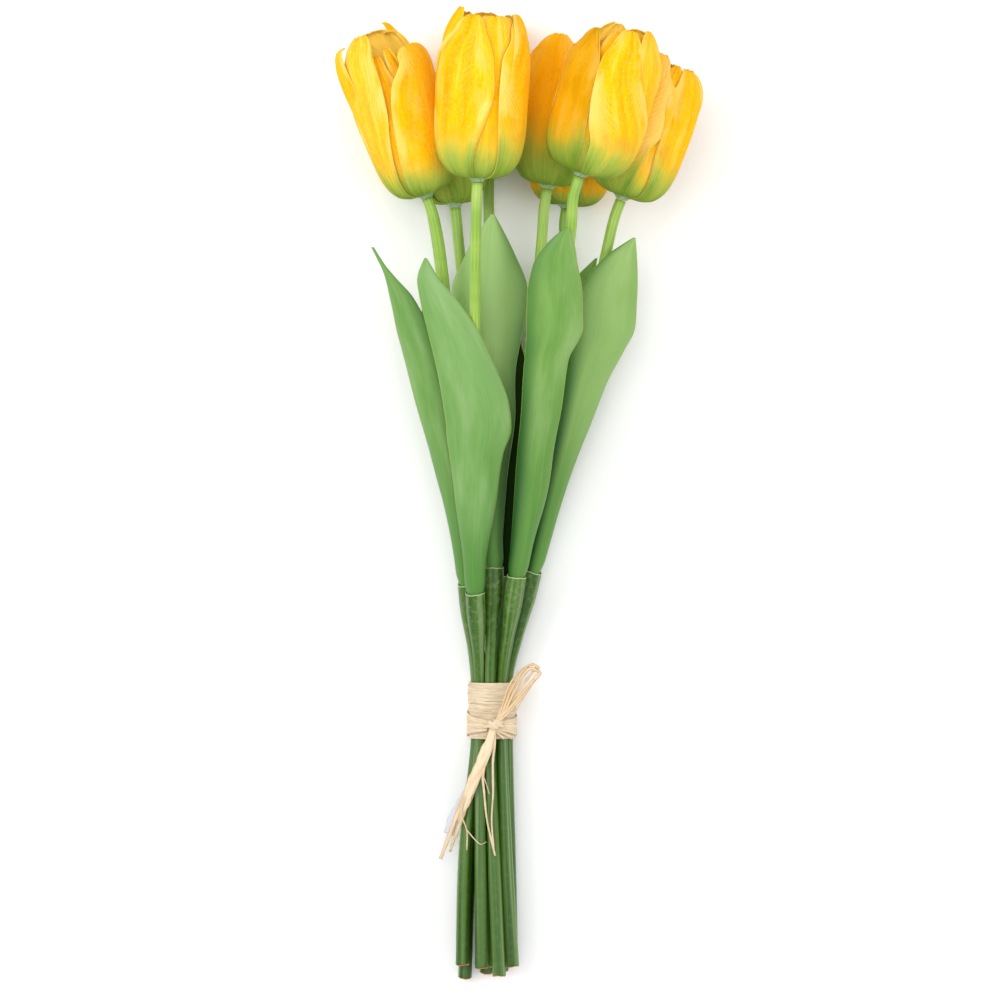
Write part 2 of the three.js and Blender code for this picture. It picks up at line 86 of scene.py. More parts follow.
# Points round and along each surface
SLEEVE_SIDES, SLEEVE_ROWS = 40, 140
STEM_SIDES, STEM_ROWS = 45, 100
LEAF_ROWS, LEAF_COLUMNS = 100, 33
PETAL_ROWS, PETAL_COLUMNS = 60, 33
COLLAR_SIDES, COLLAR_ROWS = 36, 16
BAND_SIDES, BAND_ROWS = 180, 46
WOUND_POINTS, CROSSING_POINTS, KNOT_POINTS = 97, 40, 25
STRAND_SIDES = 12

# Lengths to which the marks along a stem and a leaf are measured
STEM_SPAN, LEAF_SPAN = 100, 150

# slot is the place in the tie in degrees round its middle, and None is the middle itself. splay is
# how much of the way to its cut end a sleeve has spread half way down. base and tip are the ends of
# the bloom's axis, depth is the share of its radius that it keeps towards its front, and green is how
# much of its height is green. A leaf's rows are the x, y, z of its midline, half its chord, the half
# angle of its arched section, and how far its face is rolled from up towards +X.
TULIPS = {
    "a": dict(
        slot=185, cut_end=(-14.3, -123.5, 15), splay=0.8, mouth=(-11.8, 61.5, 26),
        bend=(-23.6, 213, 57.3), base=(-31, 245.5, 64.5), tip=(-55.5, 316.5, 75),
        radius=19.9, depth=0.8, green=0.2, leaf_roll=-25,
        leaf=[
            (-18.2, 98.5, 39.5, 6.4, 60, -22), (-22.6, 123, 46, 8.8, 50, -20),
            (-28.8, 150, 51, 9.6, 42, -20), (-36.8, 178, 57, 9, 36, -20),
            (-43, 197, 60.5, 6, 30, -22), (-48.3, 207.3, 62.5, 2.4, 25, -26),
            (-51.4, 212.5, 63, 1.2, 22, -28), (-56.2, 220.8, 64, 0.7, 20, -30),
        ],
    ),
    "b": dict(
        slot=230, cut_end=(-13.2, -131, 6.3), splay=0.72, mouth=(-12, 65.5, 11.5),
        bend=(-24.8, 213, 17.2), base=(-32.6, 252, 15), tip=(-55.5, 325.5, 15.6),
        radius=19.5, depth=0.8, green=0.25, leaf_roll=-140,
        leaf=[
            (-16, 107, 7.6, 8, 55, -158), (-19, 131, 8, 11, 46, -160),
            (-22.5, 153, 9, 12.5, 42, -160), (-25.5, 174.5, 10.5, 12, 38, -160),
            (-27.6, 194, 11, 7.6, 34, -160), (-29.5, 206, 12, 4, 28, -158),
            (-30.6, 213, 13, 0.7, 20, -155),
        ],
    ),
    "c": dict(
        slot=95, cut_end=(3.5, -128, 21.5), splay=0.45, mouth=(1, 69.5, 28),
        bend=(-14, 207, 39), base=(-17.6, 243, 40.2), tip=(-24, 309, 43.4),
        radius=18.5, depth=0.72, green=0.4, leaf_roll=0,
        leaf=[
            (0.6, 107, 36, 6.2, 54, 0), (0.8, 120, 38.4, 7.6, 44, 0), (1, 136.5, 40.5, 9.5, 50, 0),
            (-0.5, 164, 45, 12, 42, 0), (-0.5, 189, 49, 16.5, 40, 0), (-1, 202, 51, 17.8, 38, 0),
            (-0.8, 218, 53.5, 12, 34, 0), (-0.2, 229, 55.5, 6, 28, 0), (0.5, 237, 57, 0.7, 20, 0),
        ],
    ),
    "d": dict(
        slot=140, cut_end=(-5, -124.5, 19.5), splay=0.6, mouth=(-8, 57.5, 35),
        bend=(-8, 181.5, 64.5), base=(-6.5, 251.5, 84), tip=(-3, 327.5, 95),
        radius=21.5, depth=0.8, green=0.24, leaf_roll=-10,
        leaf=[
            (-8, 99, 50, 9.4, 52, -4), (-7.5, 123.5, 57.5, 12.6, 42, -2),
            (-6.2, 135, 61, 15.2, 38, 0), (-7.5, 147, 64.3, 15.6, 35, 0),
            (-12, 164, 68.3, 14, 33, 0), (-19, 183, 71.5, 11.4, 31, 0),
            (-26, 197.5, 73, 8, 29, 0), (-30.3, 207.5, 73.8, 4.4, 26, 0), (-31, 215, 74, 0.7, 20, 0),
        ],
    ),
    "e": dict(
        slot=275, cut_end=(-2.6, -129, 2.9), splay=0.5, mouth=(0.5, 65, 8.8),
        bend=(-1.5, 239.5, 14), base=(-1.5, 260.5, 14.4), tip=(-1, 335, 15.2),
        radius=19.5, depth=0.76, green=0.25, leaf_roll=180,
        leaf=[
            (1.2, 107, 3.8, 8, 55, 180), (2.4, 131, 3.2, 10.4, 44, 180),
            (3, 153.5, 3.2, 11.8, 38, 180), (2.5, 175, 3.6, 12, 34, 180),
            (2, 194.5, 4.6, 9, 30, 180), (1, 208, 6.2, 4.6, 25, 180), (0, 217, 7.6, 0.7, 20, 180),
        ],
    ),
    "f": dict(
        slot=None, cut_end=(-2.5, -124.5, 12), splay=0.5, mouth=(6, 65.5, 18.2),
        bend=(23.4, 221, 42), base=(26.5, 251.5, 46), tip=(36.5, 319.5, 53.5),
        radius=19.8, depth=0.8, green=0.29, leaf_roll=0,
        leaf=[
            (9.2, 107, 29.6, 6.2, 56, 0), (9.2, 123.5, 32.6, 7.6, 46, 0),
            (7.8, 145, 36.8, 9.6, 36, 0), (6, 166, 39.8, 10.4, 32, 0),
            (4.4, 180, 41.1, 8.2, 34, 0), (3.4, 198, 43.1, 4.8, 28, 0), (3, 215, 45, 0.7, 20, 0),
        ],
    ),
    "g": dict(
        slot=50, cut_end=(9.9, -124, 17), splay=0.38, mouth=(12, 65.5, 35),
        bend=(37, 227, 74), base=(41.5, 254.3, 80), tip=(63, 321.5, 91),
        radius=23, depth=0.75, green=0.26, leaf_roll=10,
        leaf=[
            (19, 107, 50.5, 7.9, 56, 2), (20.5, 123.5, 55, 8.6, 48, 0), (23.5, 144, 61, 9.4, 42, 0),
            (25.6, 167, 66.6, 10.2, 36, 0), (29.6, 183, 71, 13.4, 34, 0),
            (29.7, 198, 74.5, 13, 32, 0), (29.8, 211, 77.2, 10.6, 30, 0),
            (32, 221, 79.5, 6.6, 26, 0), (35, 229, 81, 0.7, 20, 0),
        ],
    ),
    "h": dict(
        slot=320, cut_end=(4.8, -128, 2.9), splay=0.45, mouth=(13.5, 65.5, 10.6),
        bend=(37.4, 222.5, 16.2), base=(36, 244, 15.6), tip=(43.5, 318.5, 16.2),
        radius=21.3, depth=0.75, green=0.1, leaf_roll=130,
        leaf=[
            (23.6, 107, 7.8, 8, 56, 145), (28.5, 131, 7.8, 11, 46, 150),
            (32.5, 153, 8.8, 12.8, 40, 152), (37, 174.5, 10.2, 13, 37, 152),
            (41.2, 194, 12.6, 10.4, 34, 150), (45.5, 209, 15.8, 5.4, 28, 148),
            (50.5, 218.5, 19, 0.7, 20, 148),
        ],
    ),
    "i": dict(
        slot=5, cut_end=(9.5, -122, 9.5), splay=0.44, mouth=(19.5, 67.5, 25),
        bend=(53.5, 215, 45.5), base=(62, 246, 49), tip=(84.5, 308.5, 57),
        radius=21, depth=0.8, green=0.26, leaf_roll=20,
        leaf=[
            (30.4, 107, 36, 7, 58, 20), (37.6, 133, 41, 9.8, 48, 20),
            (44.2, 157, 45.2, 12.8, 40, 20), (50, 173, 48, 15.8, 37, 18),
            (53, 183, 49.6, 17.8, 36, 17), (54.6, 196, 51, 16.4, 34, 16),
            (57.8, 207, 52, 12.6, 31, 14), (62.2, 218, 53.2, 7.2, 27, 12), (67.5, 226, 54, 0.7, 20, 10),
        ],
    ),
}

# A leaf's lowest rows wrap its stem: the distance up the stem, the radius and the half angle
LEAF_HUG = [(2.2, 3.3, 110), (9.9, 3.8, 110), (12.5, 4.55, 104), (23, 5.2, 88)]

# How yellow a leaf's green is; the painted light that makes it lighter than the others, with painted
# shade making it darker below nought; and the painted shade that darkens its right edge: below nought,
# the left one
LEAF_TINT_AND_PAINTED_LIGHT = dict(
    a=(0.3, 0, 0.8), b=(0.5, 0, 0), c=(0.4, 0.75, 0.8), d=(0.1, 0.22, 0), e=(0.5, 0, 0), f=(0.9, -1, 0),
    g=(0.6, 0, -1), h=(0.8, 0, 0), i=(0.85, 0.45, -1.6),
)

# Half section of a closed bloom, as shares of its radius and height
BLOOM_SECTION = [
    (0.1, 0.01), (0.45, 0.01), (0.74, 0.055), (0.91, 0.145), (0.985, 0.27), (1, 0.43),
    (1, 0.6), (0.97, 0.76), (0.89, 0.89), (0.76, 0.97), (0.62, 1),
]

# The heights, as shares of the bloom's, at which a petal's two edges are given in degrees round it
EDGE_HEIGHTS = np.array([0.06, 0.2, 0.36, 0.55, 0.75, 0.9])


def petal(left, right, tip, layer=1.0, height=1.0, flare=0.0, tone_and_painted_shade=0.0, round_from=0.86, blunt=3.2):
    """A petal by its two edges, the angle of its tip, its share of the bloom's radius and height, how
    far its top opens, its colour mark, the height from which its top is rounded, and how blunt the top
    is: 1 for a point, 3 for nearly square. The colour mark is from -1, pale, through 0 to 2, the
    deepest yellow; above nought it is partly painted shade, deepening the yellow and darkening the
    green foot."""
    return dict(left=left, right=right, tip=tip, layer=layer, height=height, flare=flare, tone_and_painted_shade=tone_and_painted_shade,
                round_from=round_from, blunt=blunt)


def even_petal(heading, cover, layer=0.9, height=1.0, flare=0.0, tone_and_painted_shade=0.0, round_from=0.7):
    """A petal whose edges lie the same angle either side of its heading: narrower at foot and top."""
    share = cover * np.array([0.64, 0.86, 0.97, 1.0, 0.95, 0.82])
    return petal(heading - share, heading + share, heading, layer, height, flare, tone_and_painted_shade, round_from)


def even_bloom(heading):
    """A hidden bloom: three outer petals, the first at the heading, and three inner ones between."""
    outer = [even_petal(heading + turn, 57, 1.0) for turn in (0, 120, 240)]
    return outer + [even_petal(heading + turn, 54, 0.88, 0.95) for turn in (60, 180, 300)]


# Each bloom's petals. An angle is nought at the bloom's front, its upper side, and grows towards +X
BLOOM_PETALS = {
    "a": [
        petal((-98, -118, -126, -130, -122, -108), (-50, -52, -54, -53, -50, -54), -76,
              0.97, 1.02, 0.7, 0.3, 0.86, 1.5),
        petal((-60, -64, -72, -80, -72, -62), (-36, -31, -24, -13, -9, -9), -22,
              1.02, 1.06, 0.0, -0.15, 0.86, 3.0),
        petal((-24, -22, -17, -10, 1, 22), (100, 112, 116, 116, 113, 108), 62,
              1.02, 0.915, 0.85, 0.35, 0.88, 3.8),
        even_petal(176, 62, 0.96, 1.06, 0.05, -0.5, 0.8),
        even_petal(140, 34, 0.9, 1.03, 0.3, -0.4),
        even_petal(-150, 48, 0.92, 1.02, 0.25, -0.4),
        petal((-40, -40, -38, -34, -26, -22), (20, 20, 20, 18, 14, 6), -8, 0.92, 0.92, -0.2, 0.45),
        petal((-10, -10, -8, 0, 6, 10), (60, 60, 56, 50, 46, 40), 24, 0.84, 0.935, -0.2, 0.2),
        even_petal(-30, 30, 0.62, 0.92, 0.0, 0.3),
        even_petal(40, 34, 0.62, 0.92, 0.0, 0.3),
    ],
    "b": [
        even_petal(-35, 57, 1.0, 0.88), even_petal(170, 57, 1.0, 0.88), even_petal(-100, 57, 1.0, 0.86),
        petal((20, 8, 6, 14, 30, 20), (100, 112, 114, 104, 62, 40), 24, 1.0, 1.07, 0.0, 0.1, 0.88, 1.6),
        even_petal(200, 54, 0.88, 0.86), even_petal(20, 54, 0.88, 0.86),
    ],
    "c": even_bloom(35),
    "d": [
        petal((-92, -116, -122, -124, -112, -80), (-36, -38, -40, -40, -38, -34), -55,
              0.98, 1.03, -0.25, 0.0, 0.84, 1.3),
        petal((-70, -84, -88, -90, -80, -46), (-9, -4, 7, 16, 13, 3), -20,
              1.01, 0.99, 0.0, 0.0, 0.87, 2.2),
        petal((28, 26, 24, 23, 25, 40), (100, 112, 115, 113, 108, 104), 74, 1.01, 0.95, 0.2, 0.1, 0.9),
        even_petal(76, 36, 0.975, 0.995, 0.2, 0.2, 0.88),
        petal((-26, -22, -20, -18, -18, -16), (62, 62, 60, 60, 60, 58), 24,
              0.93, 0.985, 0.0, 0.2, 0.92),
        even_petal(180, 56, 0.96, 1.0, 0.1, 0.4), even_petal(125, 52, 0.9, 0.99, 0.2, 0.5),
        even_petal(-135, 52, 0.9, 1.0, 0.1, 0.5), even_petal(50, 46, 0.62, 0.97, 0.0, 0.6),
        even_petal(-50, 46, 0.62, 0.97, 0.0, 0.6),
    ],
    "e": even_bloom(0),
    "f": [
        petal((-78, -92, -96, -96, -86, -60), (34, 40, 44, 44, 36, 16), -20,
              1.0, 1.04, -0.1, 0.55, 0.84, 2.0),
        petal((28, 32, 36, 38, 36, 30), (106, 114, 114, 110, 100, 84), 40, 0.98, 1.0, 0.0, 0.35, 0.86),
        even_petal(178, 57, 1.0, 0.99),
        even_petal(30, 40, 0.92, 0.97, 0.0, 0.4), even_petal(240, 54, 0.9, 0.97),
        even_petal(130, 50, 0.9, 0.97),
    ],
    "g": [
        petal((-92, -110, -113, -108, -84, -60), (-9, -8, -11, -15, -17, -26), -50,
              0.97, 0.94, 0.3, 2.0, 0.88, 1.6),
        petal((0, 1, -9, -15, -17, -10), (100, 104, 92, 60, 35, 28), 9,
              1.02, 0.985, 0.0, 0.1, 0.88, 2.4),
        petal((14, 12, 10, 12, 16, 26), (110, 115, 113, 104, 84, 60), 42,
              0.97, 1.015, 0.05, -0.1, 0.86, 2.2),
        even_petal(214, 52, 0.97, 0.86), even_petal(200, 36, 0.9, 1.0, 0.0, -0.4, 0.8),
        even_petal(150, 46, 0.95, 1.0, 0.0, 0.5, 0.84),
        petal((-34, -32, -32, -32, -30, -26), (30, 26, 22, 18, 14, 10), -8, 0.93, 0.95, 0.0, 0.6),
        even_petal(-20, 46, 0.62, 0.95, 0.0, 0.6), even_petal(60, 46, 0.62, 0.97, 0.0, 0.6),
    ],
    "h": [
        even_petal(50, 57, 1.0, 1.0, 0, 0.6), even_petal(170, 57, 1.0),
        even_petal(-70, 57, 1.0, 1.0, 0, 0.7), even_petal(110, 54, 0.88, 0.95),
        even_petal(230, 54, 0.88, 0.95), even_petal(-10, 54, 0.9, 0.95, 0, 0.3),
    ],
    "i": [
        petal((-92, -108, -112, -112, -100, -76), (5, 8, 14, 28, 24, 2), -24,
              1.0, 1.045, 0.0, -0.15, 0.86, 2.2),
        petal((30, 27, 22, 21, 13, 22), (104, 112, 113, 112, 100, 76), 42,
              1.02, 0.995, 0.0, 0.1, 0.88, 2.0),
        petal((-18, -16, -16, -16, -14, -4), (58, 54, 50, 48, 44, 34), 17,
              0.94, 1.0, 0.0, 0.0, 0.84, 1.8),
        even_petal(178, 56, 0.97, 1.0, 0.05, 0.1), even_petal(130, 46, 0.9, 1.0, 0.1, 0.3),
        even_petal(-140, 48, 0.9, 1.01, 0.0, 0.2), even_petal(20, 44, 0.62, 0.96, 0.0, 0.5),
    ],
}

# The middle of the bow's knot
BOW_KNOT = (0.8, -6.5, 27.5)


def metres(points):
    """Millimetres from the point under the tie, as metres in the part's frame."""
    return np.asarray(points) * 0.001 + TIE_PLACE


def smoothstep(value, low, high):
    """0 up to low, 1 from high, and 3t^2 - 2t^3 between them."""
    t = np.clip((value - low) / (high - low), 0, 1)
    return t * t * (3 - 2 * t)


def unit(vectors):
    """The same directions with length 1."""
    return vectors / np.maximum(np.linalg.norm(vectors, axis=-1, keepdims=True), 1e-9)


def round_turn(count):
    """Angles evenly spaced round a full turn."""
    return np.linspace(0, 2 * np.pi, count, endpoint=False)


def lengths_along(points):
    """The distance of each of a row of points from the first, along the row."""
    return np.concatenate([[0], np.cumsum(np.linalg.norm(np.diff(points, axis=0), axis=1))])


def cubic(t, start, leave, end, reach):
    """The cubic from start to end, as t goes from 0 to 1, with the slopes leave and reach there."""
    return (
        (2 * t**3 - 3 * t**2 + 1) * start + (t**3 - 2 * t**2 + t) * leave
        + (3 * t**2 - 2 * t**3) * end + (t**3 - t**2) * reach
    )


def through(x, y, at):
    """Curves through the rows of y at the places x, that never overshoot: cubics whose slope at a row
    is the harmonic mean of the slopes of its two neighbouring chords, and nought where these turn
    back."""
    step = np.diff(x)[:, None]
    chord = np.diff(y, axis=0) / step
    same = chord[:-1] * chord[1:] > 0
    mean = 2 * chord[:-1] * chord[1:] / np.where(same, chord[:-1] + chord[1:], 1)
    slope = np.vstack([chord[:1], np.where(same, mean, 0), chord[-1:]])
    i = np.clip(np.searchsorted(x, at) - 1, 0, len(x) - 2)
    t = np.clip((at - x[i])[:, None] / step[i], 0, 1)
    return cubic(t, y[i], step[i] * slope[i], y[i + 1], step[i] * slope[i + 1])


class Line:
    """A smooth line through points, read by the distance along it. Between two points it is the cubic
    whose end slopes weigh the neighbouring chords by the square roots of their lengths."""

    def __init__(self, points, steps=24):
        p = np.asarray(points, float)
        p = np.vstack([2 * p[0] - p[1], p, 2 * p[-1] - p[-2]])
        gap = np.sqrt(np.linalg.norm(np.diff(p, axis=0), axis=1))[:, None]
        p0, p1, p2, p3 = p[:-3], p[1:-2], p[2:-1], p[3:]
        g0, g1, g2 = gap[:-2], gap[1:-1], gap[2:]
        leave = ((p1 - p0) / g0 - (p2 - p0) / (g0 + g1) + (p2 - p1) / g1) * g1
        reach = ((p2 - p1) / g1 - (p3 - p1) / (g1 + g2) + (p3 - p2) / g2) * g1
        t = np.linspace(0, 1, steps, endpoint=False)[:, None, None]
        body = cubic(t, p1, leave, p2, reach)
        self.points = np.vstack([body.transpose(1, 0, 2).reshape(-1, p.shape[1]), p[-2]])
        self.distance = lengths_along(self.points)
        self.length = self.distance[-1]

    def at(self, distance):
        """Points at these distances along the line."""
        return np.stack([np.interp(distance, self.distance, axis) for axis in self.points.T], -1)

    def frame(self, distance):
        """The points at these distances and the unit directions along, sideways and up there."""
        d = np.asarray(distance, float)
        small = min(1.0, self.length / 50)
        low, high = np.clip(d - small, 0, self.length), np.clip(d + small, 0, self.length)
        along = unit(self.at(high) - self.at(low))
        side = unit(np.cross(along, [0.0, 0.0, 1.0]))
        return self.at(d), along, side, np.cross(side, along)

    def where_y(self, y):
        """The distance at which the line reaches a place along Y."""
        return float(np.interp(y, self.points[:, 1], self.distance))


def grid_faces(rows, columns, first=0, wrap=False):
    """Four-sided faces of a grid of points stored row by row. wrap closes each row into a ring."""
    row = np.arange(rows - 1)[:, None] * columns
    column = np.arange(columns if wrap else columns - 1)[None]
    after = (column + 1) % columns
    corners = [row + column, row + after, row + columns + after, row + columns + column]
    return np.stack(corners, -1).reshape(-1, 4) + first


def outward(points, faces):
    """The faces, all turned over if the closed body that they bound is inside out."""
    a, b, c, d = points[faces.T]
    volume = np.einsum("ij,ij->", a, np.cross(b, c)) + np.einsum("ij,ij->", a, np.cross(c, d))
    return faces if volume > 0 else faces[:, ::-1]


def sheet_body(front, back, marks):
    """A closed thin body between two grids of points, neither of them under the floor. marks are
    named grids of numbers on it, the same for both faces unless a pair is given."""
    rows, columns = front.shape[:2]
    front[..., 2] = np.maximum(front[..., 2], 0)
    back[..., 2] = np.maximum(back[..., 2], SHEET_CLEARANCE)
    half = rows * columns
    index = np.arange(half).reshape(rows, columns)
    rim = np.concatenate([index[0, :-1], index[:-1, -1], index[-1, :0:-1], index[:0:-1, 0]])
    after = np.roll(rim, -1)
    faces = np.vstack([
        grid_faces(rows, columns),
        grid_faces(rows, columns, half)[:, ::-1],
        np.stack([after, rim, half + rim, half + after], -1),
    ])
    points = np.vstack([front.reshape(-1, 3), back.reshape(-1, 3)])
    named = {}
    for name, mark in marks.items():
        pair = mark if isinstance(mark, tuple) else (mark, mark)
        named[name] = np.concatenate([np.broadcast_to(part, (rows, columns)).ravel() for part in pair])
    return points, outward(points, faces), named


def tube_body(rings, marks):
    """A closed body through rings of points, none under the floor, that ends in a point in the middle
    of the first and of the last ring."""
    rows, sides = rings.shape[:2]
    rings[..., 2] = np.maximum(rings[..., 2], 0)
    first = np.repeat(rings[:1].mean(1, keepdims=True), sides, 1)
    last = np.repeat(rings[-1:].mean(1, keepdims=True), sides, 1)
    rings = np.concatenate([first, rings, last])
    points = rings.reshape(-1, 3)
    named = {}
    for name, mark in marks.items():
        mark = np.broadcast_to(mark, (rows, sides))
        named[name] = np.concatenate([mark[:1], mark, mark[-1:]]).ravel()
    return points, outward(points, grid_faces(rows + 2, sides, 0, True)), named


def piece(name, bodies, material, slot, *nodes):
    """One object of all the bodies, in place of the nodes, with the bodies' marks as attributes."""
    start = np.cumsum([0] + [len(body[0]) for body in bodies])
    points = metres(np.vstack([body[0] for body in bodies]))
    faces = np.vstack([body[1] + first for body, first in zip(bodies, start)])
    mesh = bpy.data.meshes.new(name)
    mesh.from_pydata(points.tolist(), [], faces.tolist())
    for mark in bodies[0][2]:
        values = np.concatenate([body[2][mark] for body in bodies]).astype(np.float32)
        mesh.attributes.new(mark, "FLOAT", "POINT").data.foreach_set("value", values)
    mesh.validate()
    mesh.polygons.foreach_set("use_smooth", np.ones(len(mesh.polygons), bool))
    mesh.materials.append(material)
    made = bpy.data.objects.new(name, mesh)
    scene.collection.objects.link(made)
    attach(made, "root")
    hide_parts(*nodes)


def linear(colour):
    """A screen colour, 0 to 255, as the linear colour that a shader takes."""
    c = np.array(colour) / 255
    return tuple(np.where(c <= 0.04045, c / 12.92, ((c + 0.055) / 1.055) ** 2.4)) + (1.0,)


class Finish:
    """A material whose nodes are added one after the other. A node's inputs are numbers, screen
    colours or other nodes' outputs."""

    def __init__(self, name, **sockets):
        self.material = bpy.data.materials.new(name)
        self.material.use_nodes = True
        self.tree = self.material.node_tree
        self.shader = self.tree.nodes["Principled BSDF"]
        for socket, value in sockets.items():
            self.shader.inputs[socket.replace("_", " ")].default_value = value

    def add(self, kind, inputs, output=0, **settings):
        node = self.tree.nodes.new("ShaderNode" + kind)
        for setting, value in settings.items():
            setattr(node, setting, value)
        for place, value in inputs.items():
            if isinstance(value, bpy.types.NodeSocket):
                self.tree.links.new(value, node.inputs[place])
            else:
                node.inputs[place].default_value = linear(value) if isinstance(value, tuple) else value
        return node.outputs[output]

    def mark(self, name):
        return self.add("Attribute", {}, 2, attribute_name=name)

    def marks(self, *names):
        return [self.mark(name) for name in names]

    def place(self):
        return self.add("TexCoord", {}, 3)

    def math(self, operation, a, b=0.0, c=0.0):
        return self.add("Math", {0: a, 1: b, 2: c}, operation=operation)

    def times(self, a, b):
        return self.math("MULTIPLY", a, b)

    def times_plus(self, a, b, c):
        return self.math("MULTIPLY_ADD", a, b, c)

    def noise(self, vector, scale, detail=3.0, roughness=0.55):
        inputs = {"Vector": vector, "Scale": scale, "Detail": detail, "Roughness": roughness}
        return self.add("TexNoise", inputs)

    def grain(self, across, wide, along, long, number, *settings):
        """Noise on two of a piece's marks, each times its own number, that differs by the third."""
        point = {0: self.times(across, wide), 1: self.times(along, long), 2: number}
        return self.noise(self.add("CombineXYZ", point), *settings)

    def between(self, value, low, high, start=0.0, end=1.0):
        """start up to low, end from high, and a smooth step between them."""
        inputs = {0: value, 1: low, 2: high, 3: start, 4: end}
        return self.add("MapRange", inputs, interpolation_type="SMOOTHSTEP")

    def ramp(self, factor, *stops):
        socket = self.add("ValToRGB", {0: factor})
        band = socket.node.color_ramp
        while len(band.elements) < len(stops):
            band.elements.new(0.5)
        for element, (place, colour) in zip(band.elements, stops):
            element.position = place
            element.color = linear(colour)
        return socket

    def mix(self, factor, a, b):
        return self.add("Mix", {0: factor, 6: a, 7: b}, 2, data_type="RGBA")

    def colour(self, socket):
        self.tree.links.new(socket, self.shader.inputs["Base Color"])

    def roughness(self, socket):
        self.tree.links.new(socket, self.shader.inputs["Roughness"])

    def bump(self, height, depth, strength=1.0):
        normal = self.add("Bump", {"Height": height, "Distance": depth, "Strength": strength})
        self.tree.links.new(normal, self.shader.inputs["Normal"])


def petal_finish():
    """Woven fabric: green at the foot, yellow above, with pale streaks, feathered veins, fine folds
    with painted shade in them, a stained border between the two colours and pale edges that are partly
    fraying and partly painted highlight. Where its colour mark is high the yellow is deeper and the
    foot darker, partly as painted shade. Its inner face is paler."""
    f = Finish("petal fabric", Roughness=0.75, Specular_IOR_Level=0.05)
    across, height, green = f.marks("across", "height", "green")
    tone_and_painted_shade, inside, petal = f.marks("tone_and_painted_shade", "inside", "petal")
    side = f.math("ABSOLUTE", across)
    streaks = f.grain(across, 1.8, height, 1.1, petal, 1.7)
    patches = f.grain(across, 1.1, height, 2.0, petal, 1.5, 2.0)
    wander = f.grain(across, 1.0, height, 2.0, petal, 2.0, 1.0)
    lines = f.grain(across, 15.0, height, 1.0, petal, 1.3, 2.0, 0.7)
    phase = f.times_plus(f.math("POWER", side, 1.3), 7.0, f.times(height, -26.0))
    phase = f.times_plus(wander, 2.4, phase)
    veins = f.times_plus(f.math("SINE", f.times(phase, 6.2832)), 0.5, 0.5)
    veined = f.times(f.between(patches, 0.44, 0.62), f.between(side, 0.1, 0.4))
    yellow = f.ramp(streaks, (0.28, (247, 167, 0)), (0.44, (250, 183, 0)), (0.58, (253, 195, 6)),
                    (0.74, (255, 206, 98)))
    fibres = f.noise(f.place(), 620.0, 3.0, 0.7)
    yellow = f.mix(f.between(fibres, 0.45, 0.7, 0.0, 0.18), yellow, (255, 224, 132))
    folds = f.grain(across, 2.6, height, 1.5, petal, 2.1, 4.0, 0.6)
    folds = f.between(f.math("ABSOLUTE", f.math("SUBTRACT", folds, 0.5)), 0.0, 0.035, 1.0, 0.0)
    # Painted shade: the fold lines are darkened towards deeper orange
    yellow = f.mix(f.times(folds, 0.16), yellow, (232, 146, 0))
    yellow = f.mix(f.times(f.times(veins, veined), 0.5), yellow, (255, 206, 92))
    pale = f.times(f.between(side, 0.4, 0.95), f.between(patches, 0.42, 0.58, 0.0, 0.9))
    yellow = f.mix(pale, yellow, (255, 214, 106))
    # Partly painted shade: a higher colour mark turns the yellow deeper, down to (208, 146, 0)
    deeper_colour_and_painted_shade = f.times(f.between(tone_and_painted_shade, 0.0, 1.0), f.between(patches, 0.3, 0.65, 1.0, 0.7))
    yellow = f.mix(deeper_colour_and_painted_shade, yellow, f.mix(f.between(tone_and_painted_shade, 1.0, 2.0), (244, 166, 0), (208, 146, 0)))
    yellow = f.mix(f.between(tone_and_painted_shade, 0.0, -1.0), yellow, (255, 226, 150))
    yellow = f.mix(f.times(inside, 0.75), yellow, (255, 214, 80))
    level = f.math("ADD", f.math("DIVIDE", height, green), inside)
    level = f.times_plus(f.math("SUBTRACT", streaks, 0.5), 0.6, level)
    level = f.times_plus(f.math("SUBTRACT", patches, 0.5), 0.7, level)
    level = f.math("SUBTRACT", level, f.times(f.between(side, 0.5, 1.0), 0.3))
    foot = f.ramp(f.times(level, 0.5), (0.02, (116, 148, 46)), (0.2, (156, 174, 66)),
                  (0.4, (202, 186, 58)), (0.62, (240, 180, 20)))
    foot = f.mix(f.between(lines, 0.4, 0.7, 0.0, 0.28), foot, (206, 204, 104))
    # Partly painted shade: a higher colour mark darkens the green foot towards olive
    foot = f.mix(f.between(tone_and_painted_shade, 0.0, 1.0, 0.0, 0.45), foot, (84, 112, 10))
    tinted = f.mix(f.between(level, 0.5, 1.6), foot, yellow)
    stain = f.times(f.between(level, 0.75, 1.0), f.between(level, 1.5, 1.1))
    stain = f.times(stain, f.between(f.noise(f.place(), 55.0, 4.0, 0.6), 0.5, 0.66, 0.0, 0.3))
    tinted = f.mix(stain, tinted, (212, 148, 62))
    # Partly painted highlight: a thin pale line along the petal's edges, partly pale fraying
    rim = f.times(f.between(side, 0.965, 0.995, 0.0, 0.5), f.between(height, 0.1, 0.5, 0.3, 1.0))
    f.colour(f.mix(rim, tinted, (252, 224, 124)))
    weave = f.noise(f.place(), 2600.0, 2.0)
    relief = f.times_plus(f.times(veins, veined), 0.5, f.times(weave, 0.45))
    relief = f.times_plus(lines, 0.25, relief)
    relief = f.math("SUBTRACT", relief, f.times(folds, 0.35))
    f.bump(f.times_plus(streaks, 1.4, relief), 0.0005, 0.6)
    return f.material


def collar_finish():
    """Greyish green moulded plastic with specks."""
    f = Finish("collar plastic", Roughness=0.5)
    specks = f.noise(f.place(), 900.0)
    f.colour(f.ramp(specks, (0.35, (110, 150, 96)), (0.65, (168, 190, 150))))
    f.bump(f.noise(f.place(), 1500.0), 0.0003, 0.5)
    return f.material


